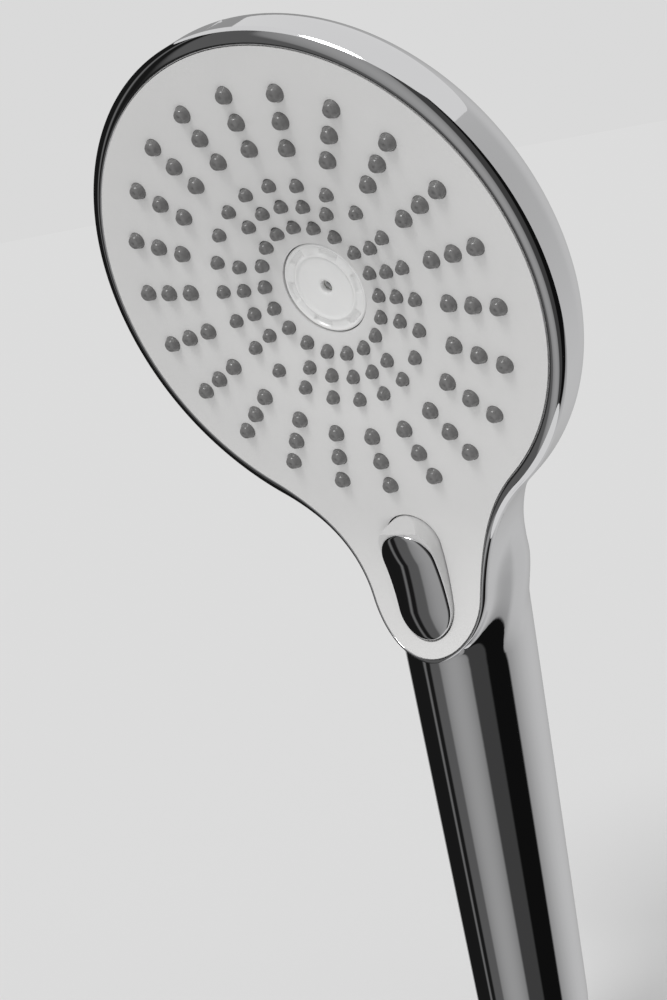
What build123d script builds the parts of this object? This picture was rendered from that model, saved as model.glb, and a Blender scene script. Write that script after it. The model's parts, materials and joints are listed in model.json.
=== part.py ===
"""Handheld shower head with a tipping spray selector, as separate pieces.

Frame: origin on the handle axis at the open end of the inlet thread, +Z up the
handle, spray face towards -Y.  The head, neck and selector are drawn in the
face frame: X across, Y up the spray face, Z out of it.  All sizes are in mm.
"""

import os
from math import asin, atan2, cos, pi, radians, sin, sqrt

from build123d import *

os.makedirs("parts", exist_ok=True)

# ---------------------------------------------------------------- driving sizes
HEAD_RADIUS = 65.0          # outside of the round head
FACE_TILT = 18.5            # spray face leans down from the handle axis, degrees
AXIS_TO_FACE = 35.9         # handle axis to the middle of the spray face
FACE_HEIGHT = 222.0         # inlet to the middle of the spray face
WALL = 2.5                  # casing wall

HANDLE_END_Z = 10.0         # lower rim of the handle, above the inlet thread
HANDLE_END_RADIUS = 13.0
HANDLE_WAIST_Z = 30.0       # end of the short cone at the bottom
HANDLE_WAIST_RADIUS = 14.4
HANDLE_TOP_Z = 150.0        # widest, where it enters the neck
HANDLE_TOP_RADIUS = 17.16
HANDLE_CROWN_Z = 178.0      # end of the cone that is buried in the neck
HANDLE_CROWN_RADIUS = 8.0

PLATE_RADIUS = 61.2         # white spray plate
PLATE_BLEND = 54.0          # hollow curve from the round plate into its tongue
PLATE_TIP_RADIUS = 16.7
PLATE_TIP_Y = -78.0
PLATE_THICK = 2.2
CASING_BLEND = 46.0
CASING_TIP_RADIUS = 18.2
CASING_TIP_Y = -77.6
TONGUE_START_Y = -58.6      # the tongue bends forward from here
TONGUE_BEND = 62.7          # radius of that bend
RIM_DROP = 1.7              # casing edge behind the plate surface
EDGE_GAP = 0.15             # between plate and bezel

DISH_RADIUS = 54.0          # the plate is flat outside this
DISH_CURVE = 170.0          # radius of the trumpet-shaped dish
HUB_HOLE_RADIUS = 11.7

HEAD_SIDE_Z = -15.0         # back of the straight side wall
HEAD_BACK_Z = -25.0         # deepest point of the domed back
HEAD_BACK_FILLET = 7.0
NECK_BACK = ((-98.0, -24.6), (-55.0, -29.6), (-12.0, -23.6))
NECK_CROWN_Z = 30.0         # the back of the neck is round about this line
NECK_ROOT = 0.75            # width of the neck inside the dome, against its shoulders
NECK_FILLET = 8.0
NECK_DEEP_Z, FRONT_CLEAR_Z = -45.0, 20.0     # beyond the body, for cutting shapes
ABOVE_HEAD_Y, TONGUE_END_Y, CUT_CLEAR_Z = 70.0, -101.0, 40.0
CUT_MARGIN = 0.1

NOZZLES_PER_RING = 22
OUTER_RINGS = (50.8, 44.2, 37.6)
INNER_RINGS = (28.0, 22.35, 16.6)
CORE_NOZZLES = 18           # in the innermost ring
SKIPPED_NOZZLES = (3, 8, 14, 19)
OUTER_NOZZLE_RADIUS = 2.05
INNER_NOZZLE_RADIUS = 1.65
NOZZLE_HEIGHT = 1.95
NOZZLE_TAPER = 18.0
NOZZLE_FIT = 0.12
JET_RADIUS = 0.5
MAT_THICK = 1.2

CHAMBER_BASE_Z = -12.0
CHAMBER_FLOOR = 2.0
CHAMBER_RADIUS = 57.5
HUB_BORE_RADIUS = 12.6
MANIFOLD_THICK = 2.4
MANIFOLD_RADIUS = 54.0
SCREW_X, SCREW_Y = 30.8, 35.5

SELECTOR_Z = -16.8          # selector axis behind the face
SELECTOR_RADIUS = 8.4
SELECTOR_BORE = 7.0
MANIFOLD_END_Y = -60.0
PORT_CIRCLE = 3.4
PORT_RADIUS = 1.5
SHAFT_RADIUS = 1.2

BUTTON_TOP_Y, BUTTON_LOW_Y = -59.4, -91.2     # opening in the plate
BUTTON_HALF_WIDTH = 8.3
BUTTON_GAP = 0.4
PIN_Y, PIN_Z, PIN_RADIUS = -88.0, 2.2, 1.0
PLUNGER_X, PLUNGER_Y = 5.4, -67.0
PLUNGER_RADIUS = 0.8
SPRING_Y = -76.0
BUTTON_UNDER_Z = -0.8

TUBE_RADIUS = 5.5
TUBE_BORE = 4.2
TUBE_TOP_Y = -84.0          # where the tube axis meets the selector axis
TUBE_FOOT_Z = 18.0
INLET_THREAD_RADIUS = 10.4775   # G 1/2 male, 20.955 mm over the crests
INLET_BORE = 7.5
SEAT_BORE = 11.0
SEAT_LENGTH = 16.0

# ------------------------------------------------------------------ work planes
TILT_COS, TILT_SIN = cos(radians(FACE_TILT)), sin(radians(FACE_TILT))
FACE = Plane(origin=(0, -AXIS_TO_FACE, FACE_HEIGHT), x_dir=(1, 0, 0),
             z_dir=(0, -TILT_COS, -TILT_SIN))
SIDE = Plane(origin=FACE.origin, x_dir=FACE.y_dir, z_dir=(1, 0, 0))
HALF_FACE = Plane(FACE.origin, x_dir=(1, 0, 0), z_dir=-FACE.y_dir)
FACE_AXIS = Axis(FACE.origin, FACE.z_dir)
SELECTOR = Plane(origin=FACE.from_local_coords((0, 0, SELECTOR_Z)), x_dir=(1, 0, 0),
                 z_dir=FACE.y_dir)          # its z runs up the face, y runs inwards
TUBE_TOP = Vector(FACE.from_local_coords((0, TUBE_TOP_Y, SELECTOR_Z)))
TUBE_FOOT = Vector(0, 0, TUBE_FOOT_Z)
TUBE = Plane(origin=TUBE_TOP, x_dir=(1, 0, 0), z_dir=TUBE_FOOT - TUBE_TOP)
TUBE_LENGTH = (TUBE_FOOT - TUBE_TOP).length


def dish(radius):
    """Height of the plate surface at a radius from the middle of the face."""
    inside = max(DISH_RADIUS - radius, 0)
    return -inside * inside / (2 * DISH_CURVE)


def dome_rise(radius):
    """How far the domed back comes forward at a radius."""
    depth = HEAD_SIDE_Z - HEAD_BACK_Z
    dome = (HEAD_RADIUS ** 2 + depth ** 2) / (2 * depth)
    return dome - sqrt(dome ** 2 - radius ** 2)


def outline(head, blend, tip, tip_y, grow):
    """Keyhole outline: round head, hollow blends into the neck and a round tip."""
    reach = head + blend
    turn = asin(((blend + tip) ** 2 - reach ** 2 - tip_y ** 2) / (-2 * reach * tip_y))
    middle = Vector(reach * cos(turn), reach * sin(turn))
    lower = atan2(middle.Y - tip_y, middle.X)
    halfway = (turn + lower) / 2 + pi
    hollow = blend - grow
    start = Vector((head + grow) * cos(turn), (head + grow) * sin(turn))
    half = middle + Vector(hollow * cos(halfway), hollow * sin(halfway))
    end = Vector((tip + grow) * cos(lower), tip_y + (tip + grow) * sin(lower))
    left_start, left_half, left_end = [Vector(-p.X, p.Y) for p in (start, half, end)]
    with BuildLine() as line:
        ThreePointArc(start, (0, head + grow), left_start)
        ThreePointArc(left_start, left_half, left_end)
        ThreePointArc(left_end, (0, tip_y - tip - grow), end)
        ThreePointArc(end, half, start)
    return line.edges()


def casing_outline(grow=0.0):
    return outline(HEAD_RADIUS, CASING_BLEND, CASING_TIP_RADIUS, CASING_TIP_Y, grow)


def plate_outline(grow=0.0):
    return outline(PLATE_RADIUS, PLATE_BLEND, PLATE_TIP_RADIUS, PLATE_TIP_Y, grow)


def surface_line(depth):
    """Side view of the plate surface at a depth, from above the head to the tip."""
    bend = TONGUE_BEND - depth
    run = TONGUE_START_Y - TONGUE_END_Y
    angle = asin(run / bend) / 2
    middle = (TONGUE_START_Y - bend * sin(angle), TONGUE_BEND - bend * cos(angle))
    end = (TONGUE_END_Y, TONGUE_BEND - sqrt(bend ** 2 - run ** 2))
    with BuildLine() as line:
        Line((ABOVE_HEAD_Y, depth), (TONGUE_START_Y, depth))
        ThreePointArc((TONGUE_START_Y, depth), middle, end)
    return line.edges(), end


def face_band(front, back):
    """Side view of a sheet that follows the plate surface between two depths."""
    front_edges, front_end = surface_line(front)
    back_edges, back_end = surface_line(back)
    with BuildLine() as line:
        add(front_edges + back_edges)
        Line((ABOVE_HEAD_Y, front), (ABOVE_HEAD_Y, back))
        Line(front_end, back_end)
    return line.edges()


def front_space(depth):
    """Side view of everything in front of the plate surface at a depth."""
    edges, end = surface_line(depth)
    with BuildLine() as line:
        add(edges)
        Polyline(end, (TONGUE_END_Y, CUT_CLEAR_Z), (ABOVE_HEAD_Y, CUT_CLEAR_Z), (ABOVE_HEAD_Y, depth))
    return line.edges()


def surface_arc(inner, depth):
    """Half section of the dished plate surface at a depth, out to the flat rim."""
    middle = (inner + DISH_RADIUS) / 2
    with BuildLine() as line:
        ThreePointArc((inner, dish(inner) + depth), (middle, dish(middle) + depth),
                      (DISH_RADIUS, depth))
    return line.edges()


def dish_ring(inner, outer, front, back):
    """Half section of a ring that follows the dish between two depths."""
    edge = min(outer, DISH_RADIUS)
    middle = (inner + edge) / 2
    with BuildLine() as line:
        for depth in (front, back):
            ThreePointArc((inner, dish(inner) + depth), (middle, dish(middle) + depth),
                          (edge, dish(edge) + depth))
            if outer > edge:
                Line((edge, depth), (outer, depth))
        Line((inner, dish(inner) + front), (inner, dish(inner) + back))
        Line((outer, dish(outer) + front), (outer, dish(outer) + back))
    return line.edges()


def nozzle_spots(ring):
    """Centres of the nozzles of one ring, the first one towards the handle."""
    count = CORE_NOZZLES if ring == INNER_RINGS[2] else NOZZLES_PER_RING
    skipped = SKIPPED_NOZZLES if ring == INNER_RINGS[1] else ()
    angles = [-pi / 2 + 2 * pi * k / count for k in range(count) if k not in skipped]
    return [(ring * cos(a), ring * sin(a)) for a in angles]


def bar(plane, start, end, radius, bore=0.0, spots=((0, 0),), mode=Mode.ADD):
    """Round bars or tubes between two heights over a plane, in the open part."""
    with BuildSketch(plane.offset(start)) as section:
        with Locations(*spots):
            Circle(radius)
            if bore:
                Circle(bore, mode=Mode.SUBTRACT)
    extrude(section.sketch, amount=end - start, mode=mode)


def sheet(side_view, front_view, mode=Mode.ADD):
    """The shape with one outline from the side and another from the front."""
    with BuildPart() as blank:
        with BuildSketch(SIDE):
            make_face(side_view)
        extrude(amount=ABOVE_HEAD_Y, both=True)
        with BuildSketch(FACE.offset(NECK_DEEP_Z)):
            make_face(front_view)
        extrude(amount=CUT_CLEAR_Z - NECK_DEEP_Z, mode=Mode.INTERSECT)
    add(blank.part, mode=mode)


def export(piece, label):
    piece.part.label = label
    export_step(piece.part, f"parts/{label}.step")


def neck_volume(inset):
    """The neck, flowing out of the domed back, with straight sides and a round back."""
    low, middle, top = [(y, z + inset) for y, z in NECK_BACK]
    sides = casing_outline(-inset)[1:]
    shoulders = sorted((edge @ end for edge in sides for end in (0, 1)), key=lambda p: p.Y)[-2:]
    root = [(NECK_ROOT * p.X, top[0]) for p in shoulders]
    with BuildPart() as neck:
        with BuildSketch(FACE.offset(NECK_DEEP_Z)):
            with BuildLine():
                add(sides)
                Polyline(shoulders[0], root[0], root[1], shoulders[1])
            make_face()
        extrude(amount=FRONT_CLEAR_Z - NECK_DEEP_Z)
        with BuildSketch(SIDE):
            with BuildLine():
                ThreePointArc(low, middle, top)
                Polyline(low, (low[0], NECK_CROWN_Z), (top[0], NECK_CROWN_Z), top)
            make_face()
        crown = Axis(FACE.from_local_coords((0, 0, NECK_CROWN_Z)), FACE.y_dir)
        revolve(axis=crown, mode=Mode.INTERSECT)
        back = neck.faces().sort_by(FACE_AXIS)[0]
        rim = back.edges().filter_by(lambda e: FACE.to_local_coords(e @ 0.5).Y < shoulders[0].Y)
        fillet(rim, NECK_FILLET - inset)
    return neck.part


def casing_volume(inset):
    """Solid shape of head, neck and handle, drawn in by a wall thickness."""
    head = HEAD_RADIUS - inset
    back = HEAD_BACK_Z + inset
    foot = HANDLE_END_Z + inset
    with BuildPart() as volume:
        with BuildSketch(HALF_FACE) as half_head:
            with BuildLine():
                ThreePointArc((0, back), (head / 2, back + dome_rise(head / 2)),
                              (head, back + dome_rise(head)))
                Polyline((head, back + dome_rise(head)), (head, FRONT_CLEAR_Z),
                         (0, FRONT_CLEAR_Z), (0, back))
            make_face()
            corner = half_head.vertices().group_by(Axis.X)[-1].sort_by(Axis.Y)[0]
            fillet(corner, HEAD_BACK_FILLET - inset)
        revolve(axis=FACE_AXIS)
        add(neck_volume(inset))
        with BuildSketch(Plane.XZ):
            with BuildLine():
                Polyline((0, foot), (HANDLE_END_RADIUS - inset, foot),
                         (HANDLE_WAIST_RADIUS - inset, HANDLE_WAIST_Z),
                         (HANDLE_TOP_RADIUS - inset, HANDLE_TOP_Z),
                         (HANDLE_CROWN_RADIUS - inset, HANDLE_CROWN_Z), (0, HANDLE_CROWN_Z), close=True)
            make_face()
        revolve(axis=Axis.Z)
    return volume.part


# --------------------------------------------------------------- casing and trim
with BuildPart() as casing:
    add(casing_volume(0.0))
    sheet(front_space(-RIM_DROP), casing_outline(CUT_MARGIN), mode=Mode.SUBTRACT)
    sheet(front_space(-PLATE_THICK - CUT_MARGIN), plate_outline(EDGE_GAP), mode=Mode.SUBTRACT)
    add(casing_volume(WALL), mode=Mode.SUBTRACT)
    bar(Plane.XY, HANDLE_END_Z - CUT_MARGIN, HANDLE_END_Z + SEAT_LENGTH, SEAT_BORE, mode=Mode.SUBTRACT)
export(casing, "casing")

with BuildPart() as front_bezel:
    sheet(face_band(0, -RIM_DROP), casing_outline())
    sheet(face_band(1, -RIM_DROP - 1), plate_outline(EDGE_GAP), mode=Mode.SUBTRACT)
export(front_bezel, "front_bezel")

with BuildPart() as face_plate:
    sheet(face_band(0, -PLATE_THICK), plate_outline())
    bar(FACE, -PLATE_THICK - 1, 1, DISH_RADIUS, mode=Mode.SUBTRACT)
    with BuildSketch(HALF_FACE):
        make_face(dish_ring(HUB_HOLE_RADIUS, DISH_RADIUS, 0, -PLATE_THICK))
    revolve(axis=FACE_AXIS)
    for ring in OUTER_RINGS + INNER_RINGS:
        width = OUTER_NOZZLE_RADIUS if ring in OUTER_RINGS else INNER_NOZZLE_RADIUS
        bar(FACE, -12, 2, width + NOZZLE_FIT, spots=nozzle_spots(ring), mode=Mode.SUBTRACT)
    with BuildSketch(FACE.offset(-10)):
        with Locations((0, (BUTTON_TOP_Y + BUTTON_LOW_Y) / 2)):
            SlotOverall(BUTTON_TOP_Y - BUTTON_LOW_Y, 2 * BUTTON_HALF_WIDTH, rotation=90)
    extrude(amount=30, mode=Mode.SUBTRACT)
export(face_plate, "face_plate")

# ------------------------------------------------------------------ spray engine
MAT_GAP = 0.03
MAT_FRONT = -PLATE_THICK - MAT_GAP
MAT_BACK = MAT_FRONT - MAT_THICK
CHAMBER_TOP = MAT_BACK - 0.12
MAT_SPLIT = 33.0            # outer mat outside, inner mat inside
OUTER_WALL_RADIUS = 54.5    # inside of the chamber's outer wall
MIDDLE_WALL = (31.5, 35.0)
HUB_WALL_RADIUS = 14.2


def nozzle_mat(inner, outer, rings, radius):
    """Silicone sheet behind the plate with its row of soft nozzles."""
    with BuildPart() as mat:
        with BuildSketch(HALF_FACE):
            make_face(dish_ring(inner, outer, MAT_FRONT, MAT_BACK))
        revolve(axis=FACE_AXIS)
        for ring in rings:
            spots = nozzle_spots(ring)
            bar(FACE, dish(ring) + MAT_BACK + MAT_THICK / 2, dish(ring), radius, spots=spots)
            with BuildSketch(FACE.offset(dish(ring))) as tips:
                with Locations(*spots):
                    Circle(radius)
            extrude(tips.sketch, amount=NOZZLE_HEIGHT, taper=NOZZLE_TAPER)
            bar(FACE, dish(ring) + 2 * MAT_BACK, dish(ring) + 2 * NOZZLE_HEIGHT, JET_RADIUS,
                spots=spots, mode=Mode.SUBTRACT)
    return mat


outer_nozzle_mat = nozzle_mat(MAT_SPLIT + 0.1, CHAMBER_RADIUS - 0.5, OUTER_RINGS, OUTER_NOZZLE_RADIUS)
export(outer_nozzle_mat, "outer_nozzle_mat")
inner_nozzle_mat = nozzle_mat(HUB_BORE_RADIUS + 0.1, MAT_SPLIT - 0.1, INNER_RINGS, INNER_NOZZLE_RADIUS)
export(inner_nozzle_mat, "inner_nozzle_mat")

SCREW_RADIUS, SCREW_HEAD_RADIUS, SCREW_HEAD = 1.25, 2.6, 1.6
SCREW_TOP_Z, SCREW_COVER, HEX_RADIUS = -7.0, 1.5, 1.2
OUTER_FEED = (0.0, -45.0)       # water ways through the chamber floor
INNER_FEED = (2.9, -22.0)
HUB_FEED = (-2.9, -5.5)
SEAL_GROOVE = (51.0, 53.0, 0.8)

with BuildPart() as nozzle_chamber:
    with BuildSketch(HALF_FACE):
        with BuildLine():
            add(surface_arc(HUB_BORE_RADIUS, CHAMBER_TOP))
            Polyline((DISH_RADIUS, CHAMBER_TOP), (CHAMBER_RADIUS, CHAMBER_TOP),
                     (CHAMBER_RADIUS, CHAMBER_BASE_Z), (HUB_BORE_RADIUS, CHAMBER_BASE_Z),
                     (HUB_BORE_RADIUS, dish(HUB_BORE_RADIUS) + CHAMBER_TOP))
        make_face()
    revolve(axis=FACE_AXIS)
    pocket_floor = CHAMBER_BASE_Z + CHAMBER_FLOOR
    bar(FACE, pocket_floor, 0, OUTER_WALL_RADIUS, MIDDLE_WALL[1], mode=Mode.SUBTRACT)
    bar(FACE, pocket_floor, 0, MIDDLE_WALL[0], HUB_WALL_RADIUS, mode=Mode.SUBTRACT)
    with BuildSketch(FACE.offset(CHAMBER_BASE_Z)) as screw_posts:
        with GridLocations(2 * SCREW_X, 2 * SCREW_Y, 2, 2):
            Circle(SCREW_HEAD_RADIUS)
    extrude(screw_posts.sketch, amount=SCREW_TOP_Z + SCREW_COVER - CHAMBER_BASE_Z)
    with BuildSketch(FACE.offset(CHAMBER_BASE_Z)) as screw_holes:
        with GridLocations(2 * SCREW_X, 2 * SCREW_Y, 2, 2):
            Circle(SCREW_RADIUS)
    extrude(screw_holes.sketch, amount=SCREW_TOP_Z - CHAMBER_BASE_Z, mode=Mode.SUBTRACT)
    bar(FACE, CHAMBER_BASE_Z - 1, pocket_floor + 1, PORT_RADIUS,
        spots=(OUTER_FEED, INNER_FEED), mode=Mode.SUBTRACT)
    bar(FACE, CHAMBER_BASE_Z, CHAMBER_BASE_Z + SEAL_GROOVE[2], SEAL_GROOVE[1], SEAL_GROOVE[0],
        mode=Mode.SUBTRACT)
export(nozzle_chamber, "nozzle_chamber")

with BuildPart() as chamber_seal:
    bar(FACE, CHAMBER_BASE_Z, CHAMBER_BASE_Z + SEAL_GROOVE[2], SEAL_GROOVE[1], SEAL_GROOVE[0])
export(chamber_seal, "chamber_seal")

MANIFOLD_BACK_Z = CHAMBER_BASE_Z - MANIFOLD_THICK
DUCT_HALF_WIDTH, DUCT_BACK_Z = 10.0, -21.2
PORT_SPOTS = [(PORT_CIRCLE * cos(radians(a)), PORT_CIRCLE * sin(radians(a))) for a in (-90, 30, 150)]
DUCT_ENDS = (OUTER_FEED[1], INNER_FEED[1], HUB_FEED[1])
FLANGE_THICK = 2.0
SHAFT_POCKET, SHAFT_CLEARANCE = 1.6, 0.05
DUCT_INSET, DUCT_SETBACK = 4.0, 2.0         # the duct box is narrower than its flange

with BuildPart() as manifold_plate:
    bar(FACE, MANIFOLD_BACK_Z, CHAMBER_BASE_Z, MANIFOLD_RADIUS)
    with BuildSketch(SELECTOR.offset(MANIFOLD_END_Y)) as flange:
        Circle(SELECTOR_RADIUS)
    extrude(flange.sketch, amount=FLANGE_THICK)
    with BuildSketch(FACE.offset(DUCT_BACK_Z)) as duct:
        with Locations((0, (MANIFOLD_END_Y - DUCT_SETBACK) / 2)):
            Rectangle(2 * DUCT_HALF_WIDTH - DUCT_INSET,
                      -MANIFOLD_END_Y - DUCT_SETBACK - FLANGE_THICK / 2)
    extrude(duct.sketch, amount=CHAMBER_BASE_Z - DUCT_BACK_Z)
    for spot, end in zip(PORT_SPOTS, DUCT_ENDS):
        bar(SELECTOR, MANIFOLD_END_Y, end, PORT_RADIUS, spots=(spot,), mode=Mode.SUBTRACT)
    for spot, feed in zip(PORT_SPOTS, (OUTER_FEED, INNER_FEED, HUB_FEED)):
        bar(FACE, SELECTOR_Z - spot[1], CHAMBER_BASE_Z, PORT_RADIUS, spots=(feed,),
            mode=Mode.SUBTRACT)
    bar(SELECTOR, MANIFOLD_END_Y, MANIFOLD_END_Y + SHAFT_POCKET, SHAFT_RADIUS + SHAFT_CLEARANCE,
        mode=Mode.SUBTRACT)
    with BuildSketch(FACE.offset(MANIFOLD_BACK_Z)) as plate_holes:
        with GridLocations(2 * SCREW_X, 2 * SCREW_Y, 2, 2):
            Circle(SCREW_RADIUS)
    extrude(plate_holes.sketch, amount=MANIFOLD_THICK, mode=Mode.SUBTRACT)
export(manifold_plate, "manifold_plate")

with BuildPart() as engine_screws:
    with BuildSketch(FACE.offset(MANIFOLD_BACK_Z - SCREW_HEAD)) as heads:
        with GridLocations(2 * SCREW_X, 2 * SCREW_Y, 2, 2):
            Circle(SCREW_HEAD_RADIUS)
            RegularPolygon(HEX_RADIUS, 6, mode=Mode.SUBTRACT)
    extrude(heads.sketch, amount=SCREW_HEAD)
    with BuildSketch(FACE.offset(MANIFOLD_BACK_Z - SCREW_HEAD / 2)) as shanks:
        with GridLocations(2 * SCREW_X, 2 * SCREW_Y, 2, 2):
            Circle(SCREW_RADIUS)
    extrude(shanks.sketch, amount=SCREW_TOP_Z - MANIFOLD_BACK_Z + SCREW_HEAD / 2)
export(engine_screws, "engine_screws")

# ---------------------------------------------------- centre disc and its turbine
CAGE_RADIUS, CAGE_BORE, CAGE_FLOOR = 12.5, 11.0, 1.0
DISC_BACK_Z, DISC_THICK = -7.6, 2.1
DISC_RADIUS, DISC_STEP = 11.45, 0.5
DISC_RIM = 7.9              # inside of the raised rim
SLOT_CIRCLE, SLOT_WIDTH, SLOT_ARC, JET_SLOTS = 9.7, 1.0, 30, 6
EYE_RADIUS = 1.55
AXLE_RADIUS = 1.0
TURBINE_FLOOR_Z = CHAMBER_BASE_Z + CAGE_FLOOR + 0.3
TURBINE_TOP_Z = DISC_BACK_Z - 0.4
TURBINE_RADIUS, TURBINE_HUB, TURBINE_SHEET = 10.4, 2.4, 0.8
TURBINE_CLEARANCE = 0.06
VANES = 8

with BuildPart() as massage_cage:
    bar(FACE, CHAMBER_BASE_Z, DISC_BACK_Z, CAGE_RADIUS)
    bar(FACE, CHAMBER_BASE_Z + CAGE_FLOOR, DISC_BACK_Z, CAGE_BORE, mode=Mode.SUBTRACT)
    bar(FACE, CHAMBER_BASE_Z, CHAMBER_BASE_Z + CAGE_FLOOR, PORT_RADIUS, spots=(HUB_FEED,),
        mode=Mode.SUBTRACT)
export(massage_cage, "massage_cage")

with BuildPart() as turbine_axle:
    bar(FACE, CHAMBER_BASE_Z + CAGE_FLOOR, DISC_BACK_Z, AXLE_RADIUS)
export(turbine_axle, "turbine_axle")

with BuildPart() as massage_turbine:
    bar(FACE, TURBINE_FLOOR_Z, TURBINE_TOP_Z, TURBINE_HUB)
    with BuildSketch(FACE.offset(TURBINE_TOP_Z - TURBINE_SHEET)) as shutter:
        Circle(TURBINE_RADIUS)
        with Locations((0, -TURBINE_RADIUS / 2 - TURBINE_HUB)):
            Rectangle(2 * TURBINE_RADIUS, TURBINE_RADIUS, mode=Mode.SUBTRACT)
    extrude(shutter.sketch, amount=TURBINE_SHEET)
    with BuildSketch(FACE.offset(TURBINE_FLOOR_Z)) as vanes:
        with PolarLocations(TURBINE_RADIUS / 2 + TURBINE_SHEET, VANES):
            Rectangle(TURBINE_RADIUS - TURBINE_HUB, TURBINE_SHEET)
    extrude(vanes.sketch, amount=TURBINE_TOP_Z - TURBINE_FLOOR_Z)
    bar(FACE, TURBINE_FLOOR_Z, TURBINE_TOP_Z, AXLE_RADIUS + TURBINE_CLEARANCE, mode=Mode.SUBTRACT)
export(massage_turbine, "massage_turbine")

with BuildPart() as centre_disc:
    bar(FACE, DISC_BACK_Z, DISC_BACK_Z + DISC_THICK, DISC_RADIUS)
    bar(FACE, DISC_BACK_Z + DISC_THICK - DISC_STEP, DISC_BACK_Z + DISC_THICK, DISC_RIM,
        mode=Mode.SUBTRACT)
    bar(FACE, DISC_BACK_Z, DISC_BACK_Z + DISC_THICK, EYE_RADIUS, mode=Mode.SUBTRACT)
    with BuildSketch(FACE.offset(DISC_BACK_Z)) as jets:
        with PolarLocations(0, JET_SLOTS):
            SlotArc(CenterArc((0, 0), SLOT_CIRCLE, -SLOT_ARC / 2, SLOT_ARC, mode=Mode.PRIVATE),
                    SLOT_WIDTH)
    extrude(jets.sketch, amount=DISC_THICK, mode=Mode.SUBTRACT)
export(centre_disc, "centre_disc")

# --------------------------------------------------------------- spray selector
GASKET = 0.8
HOUSING_TOP_Y = MANIFOLD_END_Y - GASKET
HOUSING_END_Y, HOUSING_WALL = -82.0, 1.6
PORT_SEAL_RADIUS, PORT_SEAL_THICK = 2.2, 1.0
ROTOR_TOP_Y = MANIFOLD_END_Y - PORT_SEAL_THICK - 0.25
ROTOR_THICK, ROTOR_RADIUS = 2.4, 6.6
SHAFT_END_Y = -74.0
WHEEL_TOP_Y, WHEEL_THICK = -65.4, 3.2
WHEEL_RADIUS, TOOTH_DEPTH, TEETH = 4.1, 1.1, 6
SOCKET_RADIUS, SOCKET_LENGTH, SOCKET_STEP = 7.0, 10.0, 3.0
SOCKET_START, SOCKET_CUT = 2.0, 5.0         # the socket reaches back into the housing
PLUNGER_LOW_Z, PLUNGER_GAP, PLUNGER_HEAD, PLUNGER_HEAD_RADIUS = -15.2, 0.3, 1.0, 1.5
BOSS_RADIUS, BOSS_LOW_Z, BOSS_TOP_Z = 2.3, -14.0, -7.8
BOSS_SEAL_RADIUS, BOSS_SEAL_THICK = 1.6, 1.0
PLUNGER_CLEARANCE, PLUNGER_LIP = 0.06, 0.04
SPRING_SEAT_Z, SPRING_RADIUS, SPRING_WIRE, SPRING_TURNS = -7.6, 2.4, 0.5, 5
SPRING_COVER, SPRING_POCKET, SEAT_DEPTH = 0.4, 1.2, 5.0
TOOTH_LAND, TOOTH_BACK = 0.2, (0.6, 0.52)   # tooth tip, and its back against the wheel radius

with BuildPart() as housing_gasket:
    bar(SELECTOR, HOUSING_TOP_Y, MANIFOLD_END_Y, SELECTOR_RADIUS, SELECTOR_BORE)
export(housing_gasket, "housing_gasket")

with BuildPart() as port_seals:
    bar(SELECTOR, MANIFOLD_END_Y - PORT_SEAL_THICK, MANIFOLD_END_Y, PORT_SEAL_RADIUS, PORT_RADIUS,
        spots=PORT_SPOTS)
export(port_seals, "port_seals")

with BuildPart() as selector_rotor:
    bar(SELECTOR, ROTOR_TOP_Y - ROTOR_THICK, ROTOR_TOP_Y, ROTOR_RADIUS, SHAFT_RADIUS)
    bar(SELECTOR, ROTOR_TOP_Y - ROTOR_THICK, ROTOR_TOP_Y, PORT_RADIUS,
        spots=((0, PORT_CIRCLE), (0, -PORT_CIRCLE)), mode=Mode.SUBTRACT)
export(selector_rotor, "selector_rotor")

with BuildPart() as rotor_shaft:
    bar(SELECTOR, SHAFT_END_Y, MANIFOLD_END_Y + SHAFT_POCKET - 0.2, SHAFT_RADIUS)
export(rotor_shaft, "rotor_shaft")

with BuildPart() as ratchet_wheel:
    with BuildSketch(SELECTOR.offset(WHEEL_TOP_Y - WHEEL_THICK)) as teeth:
        Circle(WHEEL_RADIUS - TOOTH_DEPTH)
        with PolarLocations(0, TEETH):
            with BuildLine() as tooth:
                Polyline((0, 0), (WHEEL_RADIUS - TOOTH_DEPTH, 0), (WHEEL_RADIUS, TOOTH_LAND),
                         (WHEEL_RADIUS * TOOTH_BACK[0], WHEEL_RADIUS * TOOTH_BACK[1]), close=True)
            make_face(tooth.edges())
        Circle(SHAFT_RADIUS, mode=Mode.SUBTRACT)
    extrude(teeth.sketch, amount=WHEEL_THICK)
export(ratchet_wheel, "ratchet_wheel")

with BuildPart() as selector_housing:
    plunger_spot = ((PLUNGER_X, PLUNGER_Y),)
    bar(SELECTOR, HOUSING_END_Y, HOUSING_TOP_Y, SELECTOR_RADIUS)
    bar(TUBE, -SOCKET_START, SOCKET_LENGTH, SOCKET_RADIUS)
    bar(FACE, BOSS_LOW_Z, BOSS_TOP_Z, BOSS_RADIUS, spots=plunger_spot)
    bar(FACE, SELECTOR_Z + SEAT_DEPTH, SPRING_SEAT_Z, SPRING_RADIUS + SPRING_COVER,
        spots=((0, SPRING_Y),))
    bar(SELECTOR, HOUSING_END_Y + HOUSING_WALL, HOUSING_TOP_Y, SELECTOR_BORE, mode=Mode.SUBTRACT)
    bar(TUBE, -SOCKET_CUT, SOCKET_LENGTH, TUBE_BORE, mode=Mode.SUBTRACT)
    bar(TUBE, SOCKET_STEP, SOCKET_LENGTH, TUBE_RADIUS, mode=Mode.SUBTRACT)
    bar(FACE, SELECTOR_Z, BOSS_TOP_Z, PLUNGER_RADIUS + PLUNGER_CLEARANCE, spots=plunger_spot,
        mode=Mode.SUBTRACT)
    bar(FACE, BOSS_TOP_Z - BOSS_SEAL_THICK, BOSS_TOP_Z, BOSS_SEAL_RADIUS, spots=plunger_spot,
        mode=Mode.SUBTRACT)
export(selector_housing, "selector_housing")

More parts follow.
